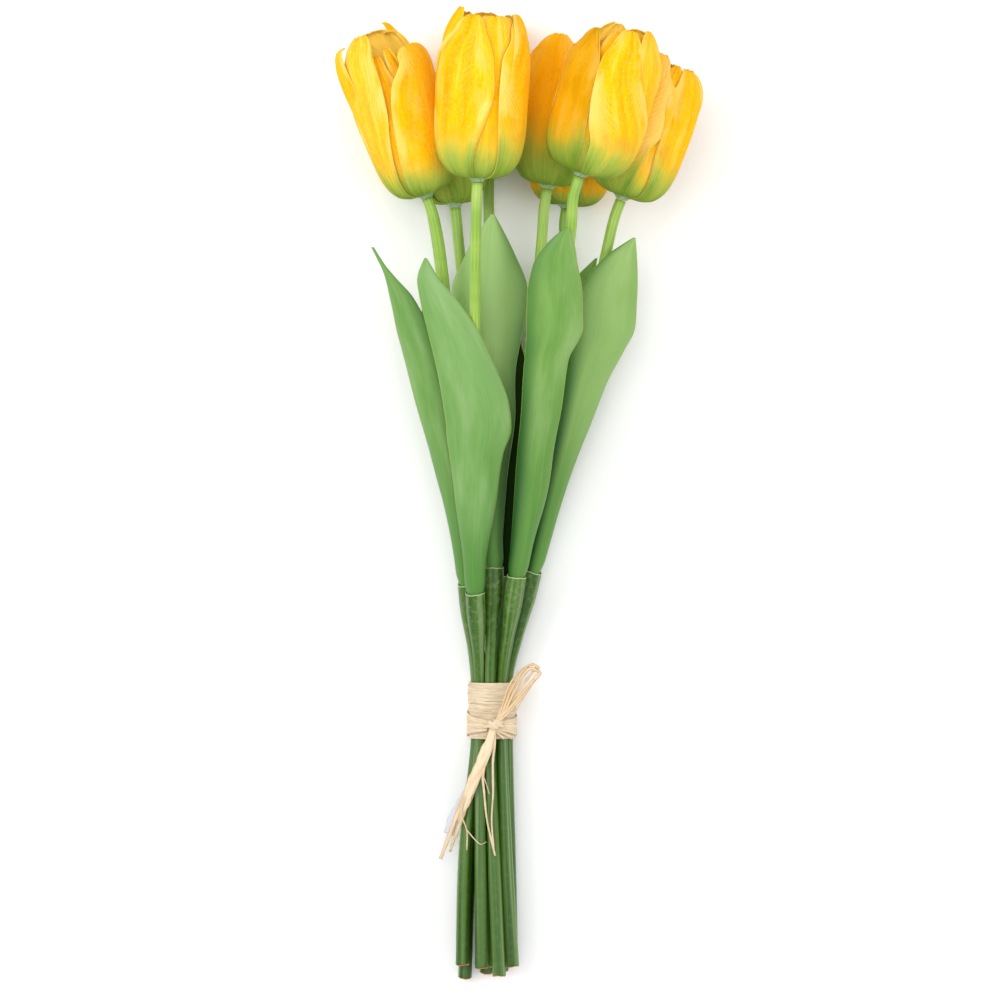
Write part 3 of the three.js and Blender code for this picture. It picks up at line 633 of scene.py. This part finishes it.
def leaf_finish(name, gloss):
    """Matte green blade: fine veins along it, faint blotches, a deeper foot and a yellow-green edge.
    Its marks say how yellow it is, how much painted light lightens it or painted shade darkens it, and
    how much painted shade darkens one edge of it."""
    f = Finish(name, Specular_IOR_Level=gloss)
    across, along, leaf = f.marks("across", "along", "leaf")
    under, warm = f.marks("under", "warm")
    side = f.math("ABSOLUTE", across)
    lines = f.grain(across, 38.0, along, 1.2, leaf, 1.0, 3.0, 0.7)
    cloud = f.grain(across, 0.9, along, 2.2, leaf, 1.6, 4.0)
    base = f.ramp(cloud, (0.3, (84, 136, 56)), (0.5, (102, 148, 74)), (0.7, (124, 162, 100)))
    yellower = f.ramp(cloud, (0.3, (92, 140, 32)), (0.5, (118, 156, 54)), (0.7, (144, 172, 90)))
    base = f.mix(f.times(warm, 0.75), base, yellower)
    low = f.between(along, 0.1, f.times_plus(warm, 1.1, 0.3), 0.8, 0.0)
    low = f.mix(low, base, (70, 124, 40))
    lined = f.mix(f.between(lines, 0.4, 0.7, 0.0, 0.13), low, (156, 190, 124))
    light, deeper_colour_and_painted_shade = f.marks("light", "deeper_colour_and_painted_shade")
    # Painted light: a leaf whose light mark is above nought is paler along the middle of its length
    pale = f.times(f.between(light, 0.0, 1.0, 0.0, 0.8), f.between(along, 0.25, 0.65))
    lined = f.mix(pale, lined, (166, 200, 122))
    # Painted shade: one edge, chosen by its mark, darkens towards dark green, most strongly low down
    upper = f.between(along, 0.35, 0.8)
    start = f.times_plus(upper, 0.25, -0.05)
    full = f.times_plus(upper, 0.15, 0.85)
    shade = f.between(f.times(across, deeper_colour_and_painted_shade), start, full, 0.0, 0.95)
    lined = f.mix(shade, lined, f.mix(upper, (14, 74, 4), (48, 104, 22)))
    # Painted shade: a leaf whose light mark is below nought is made nearly black, all but its edge and
    # underside
    lined = f.mix(f.between(light, 0.0, -1.0, 0.0, 0.95), lined, (8, 24, 6))
    edge = f.mix(f.between(side, 0.96, 0.995, 0.0, 0.8), lined, (166, 188, 84))
    f.colour(f.mix(f.times(under, 0.5), edge, (108, 156, 56)))
    f.roughness(f.between(cloud, 0.3, 0.7, 0.42, 0.58))
    f.bump(f.times_plus(lines, 0.5, f.times(f.noise(f.place(), 700.0), 0.6)), 0.0003, 0.4)
    return f.material


def stem_finish():
    """Light green satin plastic, paler on its ribs, with faint yellowish lengths."""
    f = Finish("stem plastic", Roughness=0.4)
    rib, along, stem = f.marks("rib", "along", "stem")
    lengths = f.grain(along, 6.0, rib, 0.8, stem, 1.4)
    base = f.ramp(lengths, (0.3, (118, 162, 42)), (0.5, (136, 174, 60)), (0.72, (166, 190, 88)))
    f.colour(f.mix(f.between(rib, 0.2, 1.0, 0.0, 0.22), base, (180, 208, 112)))
    f.bump(f.noise(f.place(), 900.0), 0.0003, 0.35)
    return f.material


def sleeve_finish():
    """Dark green satin plastic: long streaks, the greyest of them partly painted highlight bands,
    grey-green specks towards the mouth, a pale rim that is a painted highlight and a brownish cut end.
    """
    f = Finish("sleeve plastic", Roughness=0.36)
    east, up, along = f.marks("east", "up", "along")
    stem, rim = f.marks("stem", "rim")
    lengthwise = f.times_plus(along, 0.9, stem)
    streaks = f.grain(east, 1.2, up, 1.0, lengthwise, 1.7, 2.0, 0.45)
    specks = f.noise(f.place(), 420.0, 5.0, 0.7)
    # Partly painted highlight: the greyest streaks stand for highlight bands along the tube
    base = f.ramp(streaks, (0.32, (30, 68, 4)), (0.47, (54, 94, 10)), (0.55, (68, 106, 16)),
                  (0.62, (92, 122, 60)), (0.8, (112, 136, 86)))
    # Paler grey-green specks, more of them towards the mouth
    grey_specks_towards_mouth = f.times(f.between(along, 0.75, 1.0, 0.12, 0.5), f.between(specks, 0.45, 0.72))
    base = f.mix(grey_specks_towards_mouth, base, (130, 156, 112))
    base = f.mix(f.between(along, 0.0026, 0.0012), base, (206, 112, 34))
    # Painted highlight: the rim is coloured pale
    f.colour(f.mix(rim, base, (178, 194, 140)))
    f.roughness(f.between(specks, 0.3, 0.7, 0.3, 0.5))
    f.bump(f.times_plus(streaks, 2.0, specks), 0.0003, 0.4)
    return f.material


def raffia_finish():
    """Dried flat fibre: pale straw with golden and darker threads along it, and edges as golden as its
    mark says. Below nought the mark means a bleached strand."""
    f = Finish("raffia fibre", Roughness=0.75, Sheen_Weight=0.1)
    across, along, strand = f.marks("across", "along", "strand")
    threads = f.grain(across, 3.4, along, 0.05, strand, 2.2, 5.0, 0.75)
    patches = f.grain(across, 1.0, along, 0.1, strand, 1.0, 2.0)
    base = f.ramp(threads, (0.26, (196, 156, 106)), (0.4, (234, 208, 166)), (0.56, (248, 229, 198)),
                  (0.76, (255, 247, 230)))
    side = f.between(f.math("ABSOLUTE", across), 0.6, 1.0)
    base = f.mix(f.times(side, 0.3), base, (206, 170, 116))
    golden = f.between(f.math("ABSOLUTE", across), 0.25, 0.85)
    base = f.mix(f.times(golden, f.times(f.mark("gold"), 0.85)), base, (226, 166, 62))
    base = f.mix(f.between(patches, 0.5, 0.75, 0.0, 0.3), base, (226, 194, 146))
    f.colour(f.mix(f.between(f.mark("gold"), 0.0, -1.0, 0.0, 0.85), base, (218, 224, 240)))
    f.bump(threads, 0.0006, 1.0)
    return f.material


PETAL, COLLAR, STEM = petal_finish(), collar_finish(), stem_finish()
SLEEVE, RAFFIA = sleeve_finish(), raffia_finish()
# The glossless copy of the leaf material is for the leaf painted nearly black as shade
LEAF, SHADED_LEAF = leaf_finish("leaf blade", 0.4), leaf_finish("shaded leaf blade", 0.0)


def across_y(east, up):
    """Vectors with these parts along +X and +Z and none along +Y."""
    return np.stack([east, np.zeros_like(east), up], -1)


def bloom_axes(tulip):
    """Where a bloom starts, the directions along it, to its side and to its front, and its length."""
    base, tip = np.array(tulip["base"], float), np.array(tulip["tip"], float)
    length = np.linalg.norm(tip - base)
    axis = (tip - base) / length
    front = unit(np.array([0, 0, 1.0]) - axis * axis[2])
    return base, axis, np.cross(axis, front), front, length


def round_axis(axes, along, radius, angle, depth=1.0):
    """Points along a bloom's axis and out from it, at these angles from its front. depth is the share
    of the radius that is kept towards the front."""
    base, axis, side, front, _ = axes
    return (
        base + axis * along[..., None] + side * (radius * np.sin(angle))[..., None]
        + front * (radius * np.cos(angle) * depth)[..., None]
    )


def tulip_line(tulip):
    """The middle line of a whole tulip, from the cut end through its slot in the tie to its bloom."""
    turn = np.radians(tulip["slot"] or 0)
    reach = 0 if tulip["slot"] is None else SLOT_CIRCLE
    slot = np.array([reach * np.cos(turn), 0, TIE_HEIGHT + reach * np.sin(turn)])
    low, high = slot.copy(), slot.copy()
    low[1], high[1] = -BAND_LENGTH / 2 - 2, BAND_LENGTH / 2 + 2
    end, mouth, bend = (np.array(tulip[key], float) for key in ("cut_end", "mouth", "bend"))
    base, axis = bloom_axes(tulip)[:2]
    top = base - axis * (COLLAR_DEPTH + SEAT_GAP)
    spread = low + (end - low) * tulip["splay"]
    spread[1] = (low[1] + end[1]) / 2
    return Line([
        end, spread, low, slot, high, high + (mouth - high) * 0.55, mouth, (mouth + bend) / 2, bend,
        top - axis * 9, top,
    ])


def seat(tulip, line):
    """The distance along the line at which the stem and the leaf start, low in the sleeve's socket."""
    return line.where_y(tulip["mouth"][1]) - SOCKET_DEPTH + SEAT_GAP


def ring_points(line, distance, radius, sides):
    """Rings round a line: circles of the given radii, which may differ all round."""
    centre, _, side, up = line.frame(distance)
    angle = round_turn(sides)[:, None]
    circle = side[:, None] * np.cos(angle) + up[:, None] * np.sin(angle)
    return centre[:, None] + circle * np.broadcast_to(radius, circle.shape[:2])[..., None]


def sleeve_bodies(tulip, line, number):
    """A tube that is thinnest in the tie and widest over its socket, with flat ribs along it, a
    rounded rim and a blind bore at the mouth: its radius is a function of distance and angle. Both
    ends are cut a little wavy."""
    mouth = line.where_y(tulip["mouth"][1])
    outer = np.concatenate([[0, 0.4], np.linspace(1.2, mouth - 0.5, SLEEVE_ROWS)])
    y = line.at(outer)[:, 1]
    lower = smoothstep(-y, BAND_LENGTH / 2 + 2, 90)
    upper = smoothstep(y, BAND_LENGTH / 2, 45)
    tube = SLEEVE_TIED_RADIUS + (SLEEVE_LOWER_RADIUS - SLEEVE_TIED_RADIUS) * np.maximum(lower, upper)
    radius = tube + (SLEEVE_MOUTH_RADIUS - tube) * (1 - smoothstep(mouth - outer, SOCKET_DEPTH + 1, 32))
    radius[0] -= 0.35
    rim_turn = np.linspace(0, np.pi, 7)
    rim_middle = (SLEEVE_MOUTH_RADIUS + SOCKET_RADIUS) / 2
    rim_half = (SLEEVE_MOUTH_RADIUS - SOCKET_RADIUS) / 2
    inner = np.linspace(mouth - 0.5, mouth - SOCKET_DEPTH, 8)
    distance = np.concatenate([outer, mouth - 0.2 + 0.2 * np.sin(rim_turn), inner])
    rim_radius = rim_middle + rim_half * np.cos(rim_turn)
    radius = np.concatenate([radius, rim_radius, np.full_like(inner, SOCKET_RADIUS)])
    face = np.repeat(["outside", "rim", "bore"], [len(outer), len(rim_turn), len(inner)])
    angle = round_turn(SLEEVE_SIDES)
    ribs = 0.5 + 0.5 * np.cos(SLEEVE_RIBS * angle + number)
    depth = 0.14 * (face == "outside")
    depth = depth * smoothstep(mouth - distance, 0, 20) * smoothstep(distance, 0, 8)
    around = radius[:, None] - depth[:, None] * (1 - ribs)
    wave = 0.3 * np.sin(2 * angle + 2 * number) + 0.08 * np.sin(7 * angle + number)
    cut = smoothstep(distance, mouth - 8, mouth) + 0.8 - 0.8 * smoothstep(distance, 0, 6)
    shift = line.frame(distance)[1][:, None] * (cut[:, None] * wave)[..., None]
    rings = ring_points(line, distance, around, SLEEVE_SIDES) + shift
    return [tube_body(rings, dict(
        east=np.cos(angle), up=np.sin(angle), along=(distance / mouth)[:, None], stem=number * 7.3,
        # The rim mark carries a pale painted highlight
        rim=(face == "rim")[:, None],
    ))]


def stem_bodies(tulip, line, number):
    """A round stem from the socket to the bloom, whose radius rises and falls round it in ribs."""
    foot = seat(tulip, line)
    distance = np.linspace(foot, line.length, STEM_ROWS)
    ribs = 0.5 + 0.5 * np.cos(STEM_RIBS * round_turn(STEM_SIDES) + number)
    rings = ring_points(line, distance, STEM_RADIUS - 0.09 * (1 - ribs), STEM_SIDES)
    along = ((distance - foot) / STEM_SPAN)[:, None]
    return [tube_body(rings, dict(rib=ribs, along=along, stem=number * 5.1))]


def leaf_bodies(tulip, line, number, warm, light, deeper_colour_and_painted_shade):
    """An arched blade: each row is an arc in a plane across Y whose middle, chord, half angle and
    roll are smooth functions of Y through the leaf's rows. A narrow channel runs along its middle,
    its edges wave, and it is thinner there."""
    turn = np.radians(tulip["leaf_roll"])
    hug = np.array(LEAF_HUG)
    centre = line.at(seat(tulip, line) + hug[:, 0]) + hug[:, 1:2] * across_y(np.sin(turn), np.cos(turn))
    lowest = np.column_stack([centre, hug[:, 1:], np.full(len(hug), tulip["leaf_roll"])])
    keys = np.vstack([lowest, np.array(tulip["leaf"], float)])
    ease = np.linspace(0, 1, LEAF_ROWS)
    y = keys[0, 1] + (keys[-1, 1] - keys[0, 1]) * (ease + 0.16 * np.sin(np.pi * ease) * ease)
    x, _, z, chord, wrap, roll = through(keys[:, 1], keys, y).T
    across = np.linspace(-1, 1, LEAF_COLUMNS)
    chord = np.maximum(chord, 0.7)
    radius = chord / np.sin(np.radians(np.minimum(wrap, 90)))
    angle = np.radians(roll[:, None] + wrap[:, None] * across)
    up = across_y(np.sin(angle), np.cos(angle))
    facing = across_y(np.sin(np.radians(roll)), np.cos(np.radians(roll)))
    middle = np.stack([x, y, z], -1) - facing * radius[:, None]
    rise = smoothstep(y, keys[len(hug), 1], keys[len(hug) + 1, 1])[:, None]
    wave = 0.3 * np.sin(y[:, None] / 9 + number + 2.5 * across) * across**2
    channel = -0.22 * np.exp(-((across / 0.07) ** 2))
    out = radius[:, None] + (wave + channel) * rise
    thick = LEAF_THICKNESS * (1 - 0.45 * np.abs(across) ** 6)
    front = middle[:, None] + up * (out + thick / 2)[..., None]
    back = middle[:, None] + up * (out - thick / 2)[..., None]
    along = ((y - y[0]) / LEAF_SPAN)[:, None]
    # Towards the tip the painted shade along an edge is weaker
    most = 1.6 - 0.85 * smoothstep(along, 0.6, 0.85)
    return [sheet_body(front, back, dict(
        across=across, along=along, leaf=number * 3.7, warm=warm, light=light,
        deeper_colour_and_painted_shade=np.clip(deeper_colour_and_painted_shade, -most, most), under=(0.0, 1.0),
    ))]


SECTION_LINE = Line([(r, h, 0) for r, h in BLOOM_SECTION])


def petal_body(tulip, axes, spec, number, draw):
    """A petal over the bloom's turned form: at a share of its length it has the section's radius and
    height, and across it runs from its left to its right edge angle, with an elliptical top. It
    bulges along its middle, lifts at its edges, ruffles at its ragged top, and a flare opens it."""
    across = np.linspace(-1, 1, PETAL_COLUMNS)
    share = 1 - (1 - np.linspace(0, 1, PETAL_ROWS)[:, None]) ** 1.4
    turn = draw.uniform(0, 2 * np.pi, 6)
    ragged = 0.5 * np.sin(5 * across + turn[0]) + 0.35 * np.sin(11 * across + turn[1])
    ragged = ragged + 0.45 * np.sin(23 * across + turn[2]) + 0.3 * np.sin(37 * across + turn[3])
    share = share * (1 - 0.015 * (1 + ragged))
    reach, rise = np.moveaxis(SECTION_LINE.at(share * SECTION_LINE.length), -1, 0)[:2]
    edges = through(EDGE_HEIGHTS, np.column_stack([spec["left"], spec["right"]]), rise.ravel())
    left, right = edges.T.reshape(2, *rise.shape)
    middle = (left + right) / 2
    top = np.clip((rise - spec["round_from"]) / (1.005 - spec["round_from"]), 0, 1)
    half = (right - left) / 2 * np.sqrt(np.maximum(1 - top ** spec["blunt"], 0.01))
    middle = middle + (spec["tip"] - middle) * top**1.5
    angle = np.radians(middle + half * across)
    open_top = 1 + spec["flare"] * np.maximum(0, rise - 0.45) ** 1.5
    mid = np.sin(np.pi * np.clip(share, 0, 1)) ** 0.7
    lift = (0.5 * (1 - across**2) - 0.8 + 0.6 * np.abs(across) ** 8) * mid
    lift = lift - 0.2 * np.exp(-((across / 0.1) ** 2)) * mid
    lift = lift + 0.3 * np.sin(6 * share + turn[3]) * across * smoothstep(share, 0.2, 0.7)
    lift = lift + 0.25 * np.sin(9 * across + 3 * share + turn[4]) * smoothstep(share, 0.55, 0.95)
    lift = lift + 0.45 * np.sin(15 * across + turn[5]) * smoothstep(share, 0.9, 1.0)
    curl = 1.2 * smoothstep(share, 0.93, 1.0) * np.sin(turn[1])
    radius = tulip["radius"] * spec["layer"] * reach * open_top + lift + curl
    foot = 2.5 * (1.03 - spec["layer"])
    along = foot + (axes[-1] * spec["height"] - foot) * rise
    where = round_axis(axes, along, radius, angle, tulip["depth"])
    normal = unit(np.cross(np.gradient(where, axis=1), np.gradient(where, axis=0)))
    wall = normal * PETAL_THICKNESS / 2
    green = tulip["green"] * draw.uniform(0.85, 1.2)
    return sheet_body(where + wall, where - wall, dict(
        across=across, height=rise, green=green, tone_and_painted_shade=spec["tone_and_painted_shade"], inside=(0.0, 1.0),
        petal=number + draw.uniform(0, 40),
    ))


def collar_bodies(tulip, number):
    """A small turned cup under the petals, with a wavy lip."""
    profile = [(2.7, -COLLAR_DEPTH), (3.2, -0.6), (4.4, 0.2), (4.9, 0.9), (3.4, 3.5)]
    turned = Line([(r, h, 0) for r, h in profile]).at(np.linspace(0, 8, COLLAR_ROWS))
    angle = round_turn(COLLAR_SIDES)
    wavy = 1 + 0.06 * np.sin(5 * angle + number) + 0.03 * np.sin(13 * angle)
    rings = round_axis(bloom_axes(tulip), turned[:, 1:2], turned[:, :1] * wavy, angle)
    return [tube_body(rings, dict(petal=number))]


def ribbon_body(points, facing, width, thick, number, fold=0.0, gold=0.0):
    """A flat strand: a thin lens section carried along points, its face turned to the facing
    directions, a little folded along its middle. Its marks are the place across it, the distance
    along it and how golden its edges are."""
    along = unit(np.gradient(points, axis=0))
    side = unit(np.cross(along, facing))
    face = np.cross(side, along)
    angle = round_turn(STRAND_SIDES)
    across = np.cos(angle)
    width = np.broadcast_to(width, (len(points),))[:, None] / 2
    high = thick / 2 * np.sin(angle) - fold * width * np.abs(across)
    rings = points[:, None] + side[:, None] * (across * width)[..., None]
    rings = rings + face[:, None] * high[..., None]
    along = lengths_along(points)[:, None]
    return tube_body(rings, dict(across=across, along=along, strand=number * 3.3, gold=gold))


def band_bodies(draw):
    """The band: a closed ring whose outside rises and falls along Y with the turns of fibre, and flat
    turns wound on it, each a circle whose place along Y swings once or twice on its way round."""
    y = np.linspace(-BAND_LENGTH / 2, BAND_LENGTH / 2, BAND_ROWS)
    angle = round_turn(BAND_SIDES)
    slant = 0.8 * np.sin(angle + 0.6) + 0.4 * np.sin(2 * angle)
    turned = BAND_SWELLS * (np.concatenate([y, y[::-1]])[:, None] + slant) / BAND_LENGTH
    outer = BAND_OUTER_RADIUS - 0.6 + 0.45 * np.abs(np.sin(np.pi * turned[:BAND_ROWS])) ** 0.6
    radius = np.vstack([outer, np.full_like(outer, BAND_INNER_RADIUS)])
    points = across_y(radius * np.cos(angle), TIE_HEIGHT + radius * np.sin(angle))
    points[..., 1] = np.concatenate([y, y[::-1]])[:, None]
    points = points.reshape(-1, 3)
    last = np.arange(BAND_SIDES)
    after = (last + 1) % BAND_SIDES
    end = (2 * BAND_ROWS - 1) * BAND_SIDES
    faces = np.vstack([
        grid_faces(2 * BAND_ROWS, BAND_SIDES, 0, True),
        np.stack([end + last, end + after, after, last], -1),
    ])
    plain = np.zeros(radius.size)
    marks = dict(
        across=(turned * 2 % 2 - 1).ravel(), along=np.tile(angle * BAND_OUTER_RADIUS, 2 * BAND_ROWS),
        strand=plain, gold=plain,
    )
    bodies = [(points, outward(points, faces), marks)]
    angle = np.linspace(0, 2 * np.pi, WOUND_POINTS)
    facing = across_y(np.cos(angle), np.sin(angle))
    most = BAND_LENGTH / 2 - 0.6
    for turn, start in enumerate(np.linspace(1 - BAND_LENGTH / 2, BAND_LENGTH / 2 - 1, WOUND_TURNS)):
        swing, phase = draw.uniform(0.2, 1.3), draw.uniform(0, 2 * np.pi)
        out = 0.18 * np.sin(2 * angle + phase) + draw.uniform(-0.12, 0.12)
        path = facing * (BAND_OUTER_RADIUS - 0.1 + out)[:, None] + (0, 0, TIE_HEIGHT)
        path[:, 1] = np.clip(start + swing * np.sin(angle + phase), -most, most)
        wide = draw.uniform(0.8, 1.9) * (1 + 0.2 * np.sin(5 * angle + phase))
        bodies.append(ribbon_body(path, facing, wide, 0.25, turn + 1, 0.1))
    return bodies


def crossing_body(from_angle, from_y, to_angle, to_y, width, lift, number):
    """A strand that lies flat on the band, from one place round it, in degrees, to another, lifts off
    it on the way and gets narrower."""
    share = np.linspace(0, 1, CROSSING_POINTS)
    angle = np.radians(from_angle + (to_angle - from_angle) * share)
    facing = across_y(np.cos(angle), np.sin(angle))
    path = facing * (BAND_OUTER_RADIUS + lift * (0.3 + 0.7 * share))[:, None]
    path[:, 1] = from_y + (to_y - from_y) * share
    path[:, 2] += TIE_HEIGHT + share
    wide = width * (1.1 - 0.35 * share) * (1 + 0.08 * np.sin(9 * share + number))
    return ribbon_body(path, facing, wide, 0.35, number, 0.12, 0.3)


def strand_body(points, width, number, draw, thick, twist, fold, taper=(1.0, 1.0), gold=0.3):
    """A strand through points, whose face starts upwards and turns by twist radians, and whose width
    wavers and follows the shares in taper from end to end."""
    line = Line(points)
    count = max(24, int(line.length / 1.1))
    distance = np.linspace(0, line.length, count)
    centre, along, side, up = line.frame(distance)
    turn = (twist * distance / line.length + 0.25 * np.sin(distance / 6 + number))[:, None]
    facing = up * np.cos(turn) + side * np.sin(turn)
    phase = draw.uniform(0, 2 * np.pi)
    wide = width * (1 + 0.08 * np.sin(distance / 2.3 + phase) + 0.05 * np.sin(distance / 0.9 + phase))
    wide = wide * np.interp(distance / line.length, np.linspace(0, 1, len(taper)), taper)
    return ribbon_body(centre, facing, wide, thick, number, fold, gold)


def bow_bodies(draw):
    """The knot, the strands that cross the band to it, the loops towards the blooms and the tails."""
    k = np.array(BOW_KNOT)
    turn = np.linspace(0, 2 * np.pi, KNOT_POINTS)
    bodies = []
    for number, (tilt, wide, east) in enumerate([
        (0.2, 2.4, 0.2), (0.9, 2.0, 0.4), (-0.7, 2.0, 0), (1.4, 1.6, 0.2), (0.6, 1.8, 2.0),
        (-0.5, 1.6, 2.2), (0.3, 1.6, -2.2),
    ]):
        long = np.array([3 * np.cos(tilt), 2.6 * np.sin(tilt), 0])
        lying = np.cos(turn)[:, None] * long + np.sin(turn)[:, None] * (0, 0, 1.6)
        middle = k + (east, 0.15 * east, -0.3 * abs(east))
        bodies.append(ribbon_body(middle + lying, unit(lying), wide, 0.5, 40 + number, 0.05))
    for number, (a, b, c, d, wide, lift) in enumerate([
        (196, -1.2, 96, -5.5, 2.6, 1.1), (200, -2.8, 97, -5.6, 1.6, 1.3),
        (198, -4.6, 98, -6.2, 1.8, 1.0), (198, -6.8, 98, -7, 2.4, 1.0), (200, -9, 99, -7.6, 1.8, 1.2),
        (196, -11, 100, -8.2, 2.2, 1.0), (200, -12.4, 101, -8.8, 1.6, 1.1),
        (-14, -3, 76, -5.6, 1.8, 1.1), (-18, -5, 76, -6.2, 2.0, 1.2), (-14, -8, 76, -7, 2.6, 1.1),
        (-10, -10.2, 78, -7.8, 1.8, 1.0), (0, -11.8, 80, -8.4, 1.8, 1.0),
        (34, -13.2, 84, -8.8, 1.6, 1.0), (60, -13.2, 87, -9, 1.4, 1.0),
    ]):
        bodies.append(crossing_body(a, b, c, d, wide, lift, 50 + number))
    fold = (22.3, 19.5, 32.5)
    loops = [
        ([k, (4.9, -0.4, 29.3), (9.6, 11, 31.4), (16.4, 21.4, 33), (20, 22.8, 33),
          (22.6, 20.6, 32.6)], 1.5),
        ([k, (5.6, -0.8, 29.6), (11, 10, 31.6), (18.2, 20.8, 33), fold], 1.6),
        ([k, (8.4, 1.5, 30.5), (14.5, 9, 32), (21.4, 16.6, 32.4), (23.2, 18.6, 32.6), fold], 1.7),
        ([k, (7, -1.5, 30), (13, 5.6, 31.5), (18.8, 13.2, 32), (21.6, 18.4, 32.2)], 1.3),
        ([k, (4.4, 1, 29), (9, 14, 30.4), (14.6, 20.4, 31.2), (17.5, 22, 32)], 1.2),
        ([k, (7.4, 0.4, 29.4), (12.4, 9.6, 30.8), (19.4, 19, 31.6), (21.4, 21.4, 32)], 1.5),
        ([(10.4, -1.4, 31.5), (13, 3.4, 33), (16.6, 9.2, 33.4), (20.8, 15.6, 33)], 0.8),
    ]
    for number, (points, wide) in enumerate(loops):
        twist = 0.6 - 0.3 * number
        bodies.append(strand_body(points, wide, 60 + number, draw, 0.4, twist, 0.25, gold=1.0))
    tails = [
        ([(0.6, -7.6, 27.6), (-1.6, -15.2, 27.8), (-4.5, -22.6, 27), (-7.7, -30.4, 25.7),
          (-11.6, -40.2, 23.2), (-14.6, -48, 20.4), (-16.8, -54, 18)],
         5.2, 0.0, (0.7, 0.95, 1.0, 1.0, 0.95, 0.25), 0.1),
        ([(1.6, -8, 27.7), (0.7, -15.5, 27.7), (-2.3, -23.5, 26.7), (-7.6, -36.5, 23.9),
          (-10.6, -45, 21.2)], 1.3, 0.1, (1.0, 0.9, 0.4), 0.4),
        ([(-0.6, -8, 27.5), (-3.8, -17, 27), (-8, -27.5, 25.6), (-13.2, -40.8, 22.5),
          (-16.4, -49, 19.6)], 1.2, -0.1, (1.0, 0.9, 0.8), 0.8),
        ([(-10.5, -35.5, 23.9), (-14.2, -44, 21.5), (-17.6, -52, 18.9), (-21, -61.5, 15.6),
          (-25, -72.4, 11.4)], 2.4, 0.3, (0.5, 0.95, 0.9, 0.7), 0.5),
        ([(-8.2, -34.5, 24.3), (-11.3, -42, 22.2), (-14.1, -50.5, 19.6), (-17, -59, 16.6),
          (-20.4, -68.7, 13)], 2.2, -0.2, (0.5, 0.95, 0.9, 0.7), 0.5),
        ([(-12.6, -39, 20.4), (-15.2, -45.5, 18.4), (-18.1, -53, 15.8), (-20.8, -60.4, 13)],
         6.4, 0.2, (0.3, 0.8, 1.0, 0.85), -1.0),
    ]
    for number, (points, wide, twist, taper, gold) in enumerate(tails):
        bodies.append(strand_body(points, wide, 70 + number, draw, 0.35, twist, 0.1, taper, gold))
    fibres = [
        ([(-10.6, -37, 23.7), (-14.9, -49, 21.4), (-12.2, -57.8, 20.4), (-12.2, -67.5, 19.8)], 0.8),
        ([(-12.3, -57.4, 20.4), (-8, -62.4, 21.4), (-5.4, -64.4, 22.4), (-2.6, -63.2, 23)], 0.6),
        ([k, (-2.4, -20, 27), (-4.3, -32, 25.4), (-3.8, -38.8, 25), (-2.4, -52.7, 25.4),
          (1.5, -69.5, 26.2)], 1.2),
        ([k, (1.5, -14, 27.8), (0.5, -24, 26.8), (0.5, -39, 26.2), (-0.2, -52, 26),
          (0.8, -67, 26.2)], 1.1),
        ([(-4.5, -30, 26), (-2.4, -36, 25.6), (-1.2, -40, 25.6)], 0.5),
        ([(-5.6, -21, 27), (-8.6, -26.5, 26.2), (-10, -30, 25.6)], 0.5),
    ]
    for number, (points, wide) in enumerate(fibres):
        bodies.append(strand_body(points, wide, 80 + number, draw, 0.3, 0.8, 0.2))
    return bodies


for number, (letter, tulip) in enumerate(TULIPS.items()):
    draw = np.random.default_rng(100 + number)
    line = tulip_line(tulip)
    tube = sleeve_bodies(tulip, line, number)
    piece("sleeve_tube_" + letter, tube, SLEEVE, "sleeve", "sleeve_" + letter)
    piece("stem_ribbed_" + letter, stem_bodies(tulip, line, number), STEM, "stem", "stem_" + letter)
    tint_and_painted_light = LEAF_TINT_AND_PAINTED_LIGHT[letter]
    blade = leaf_bodies(tulip, line, number, *tint_and_painted_light)
    # Painted shade: the leaf marked darker than the others takes the glossless copy
    finish = SHADED_LEAF if tint_and_painted_light[1] < 0 else LEAF
    piece("leaf_blade_" + letter, blade, finish, "leaf", "leaf_" + letter)
    axes = bloom_axes(tulip)
    petals = [
        petal_body(tulip, axes, spec, 10 * number + place, draw)
        for place, spec in enumerate(BLOOM_PETALS[letter])
    ]
    piece("bloom_petals_" + letter, petals, PETAL, "petal", "bloom_" + letter)
    piece("bloom_collar_" + letter, collar_bodies(tulip, number), COLLAR, "petal", "bloom_" + letter)

piece("raffia_turns", band_bodies(np.random.default_rng(7)), RAFFIA, "raffia", "raffia_band")
piece("raffia_knot", bow_bodies(np.random.default_rng(8)), RAFFIA, "raffia", "raffia_bow")

# Floor
floor_mesh = bpy.data.meshes.new("floor")
floor_mesh.from_pydata([(-4, -4, 0), (4, -4, 0), (4, 4, 0), (-4, 4, 0)], [], [(0, 1, 2, 3)])
floor = bpy.data.objects.new("floor", floor_mesh)
scene.collection.objects.link(floor)
paper = Finish("floor paper", Roughness=0.9)
paper.colour(paper.ramp(paper.noise(paper.place(), 3.0), (0.3, 3 * (249.888,)), (0.7, 3 * (251.607,))))
floor_mesh.materials.append(paper.material)


def lamp(name, place, size, power):
    """A square soft lamp that faces the middle of the bunch."""
    data = bpy.data.lights.new(name, "AREA")
    data.size = size
    data.energy = power
    made = bpy.data.objects.new(name, data)
    made.location = place
    away = np.array(place) - np.array([0, 0, 0.04])
    made.rotation_euler = (np.arccos(away[2] / np.linalg.norm(away)), 0, np.arctan2(away[0], -away[1]))
    scene.collection.objects.link(made)


lamp("left lamp", (-1.0, 0.3, 1.15), 1.0, 10.2)
lamp("right lamp", (1.05, 0.1, 1.1), 1.0, 6.8)
lamp("top lamp", (-0.2, 0.3, 2.1), 1.0, 12)
world = bpy.data.worlds.new("studio")
world.use_nodes = True
world.node_tree.nodes["Background"].inputs["Color"].default_value = (1, 1, 1, 1)
world.node_tree.nodes["Background"].inputs["Strength"].default_value = 0.7
scene.world = world
scene.view_settings.view_transform = "Standard"
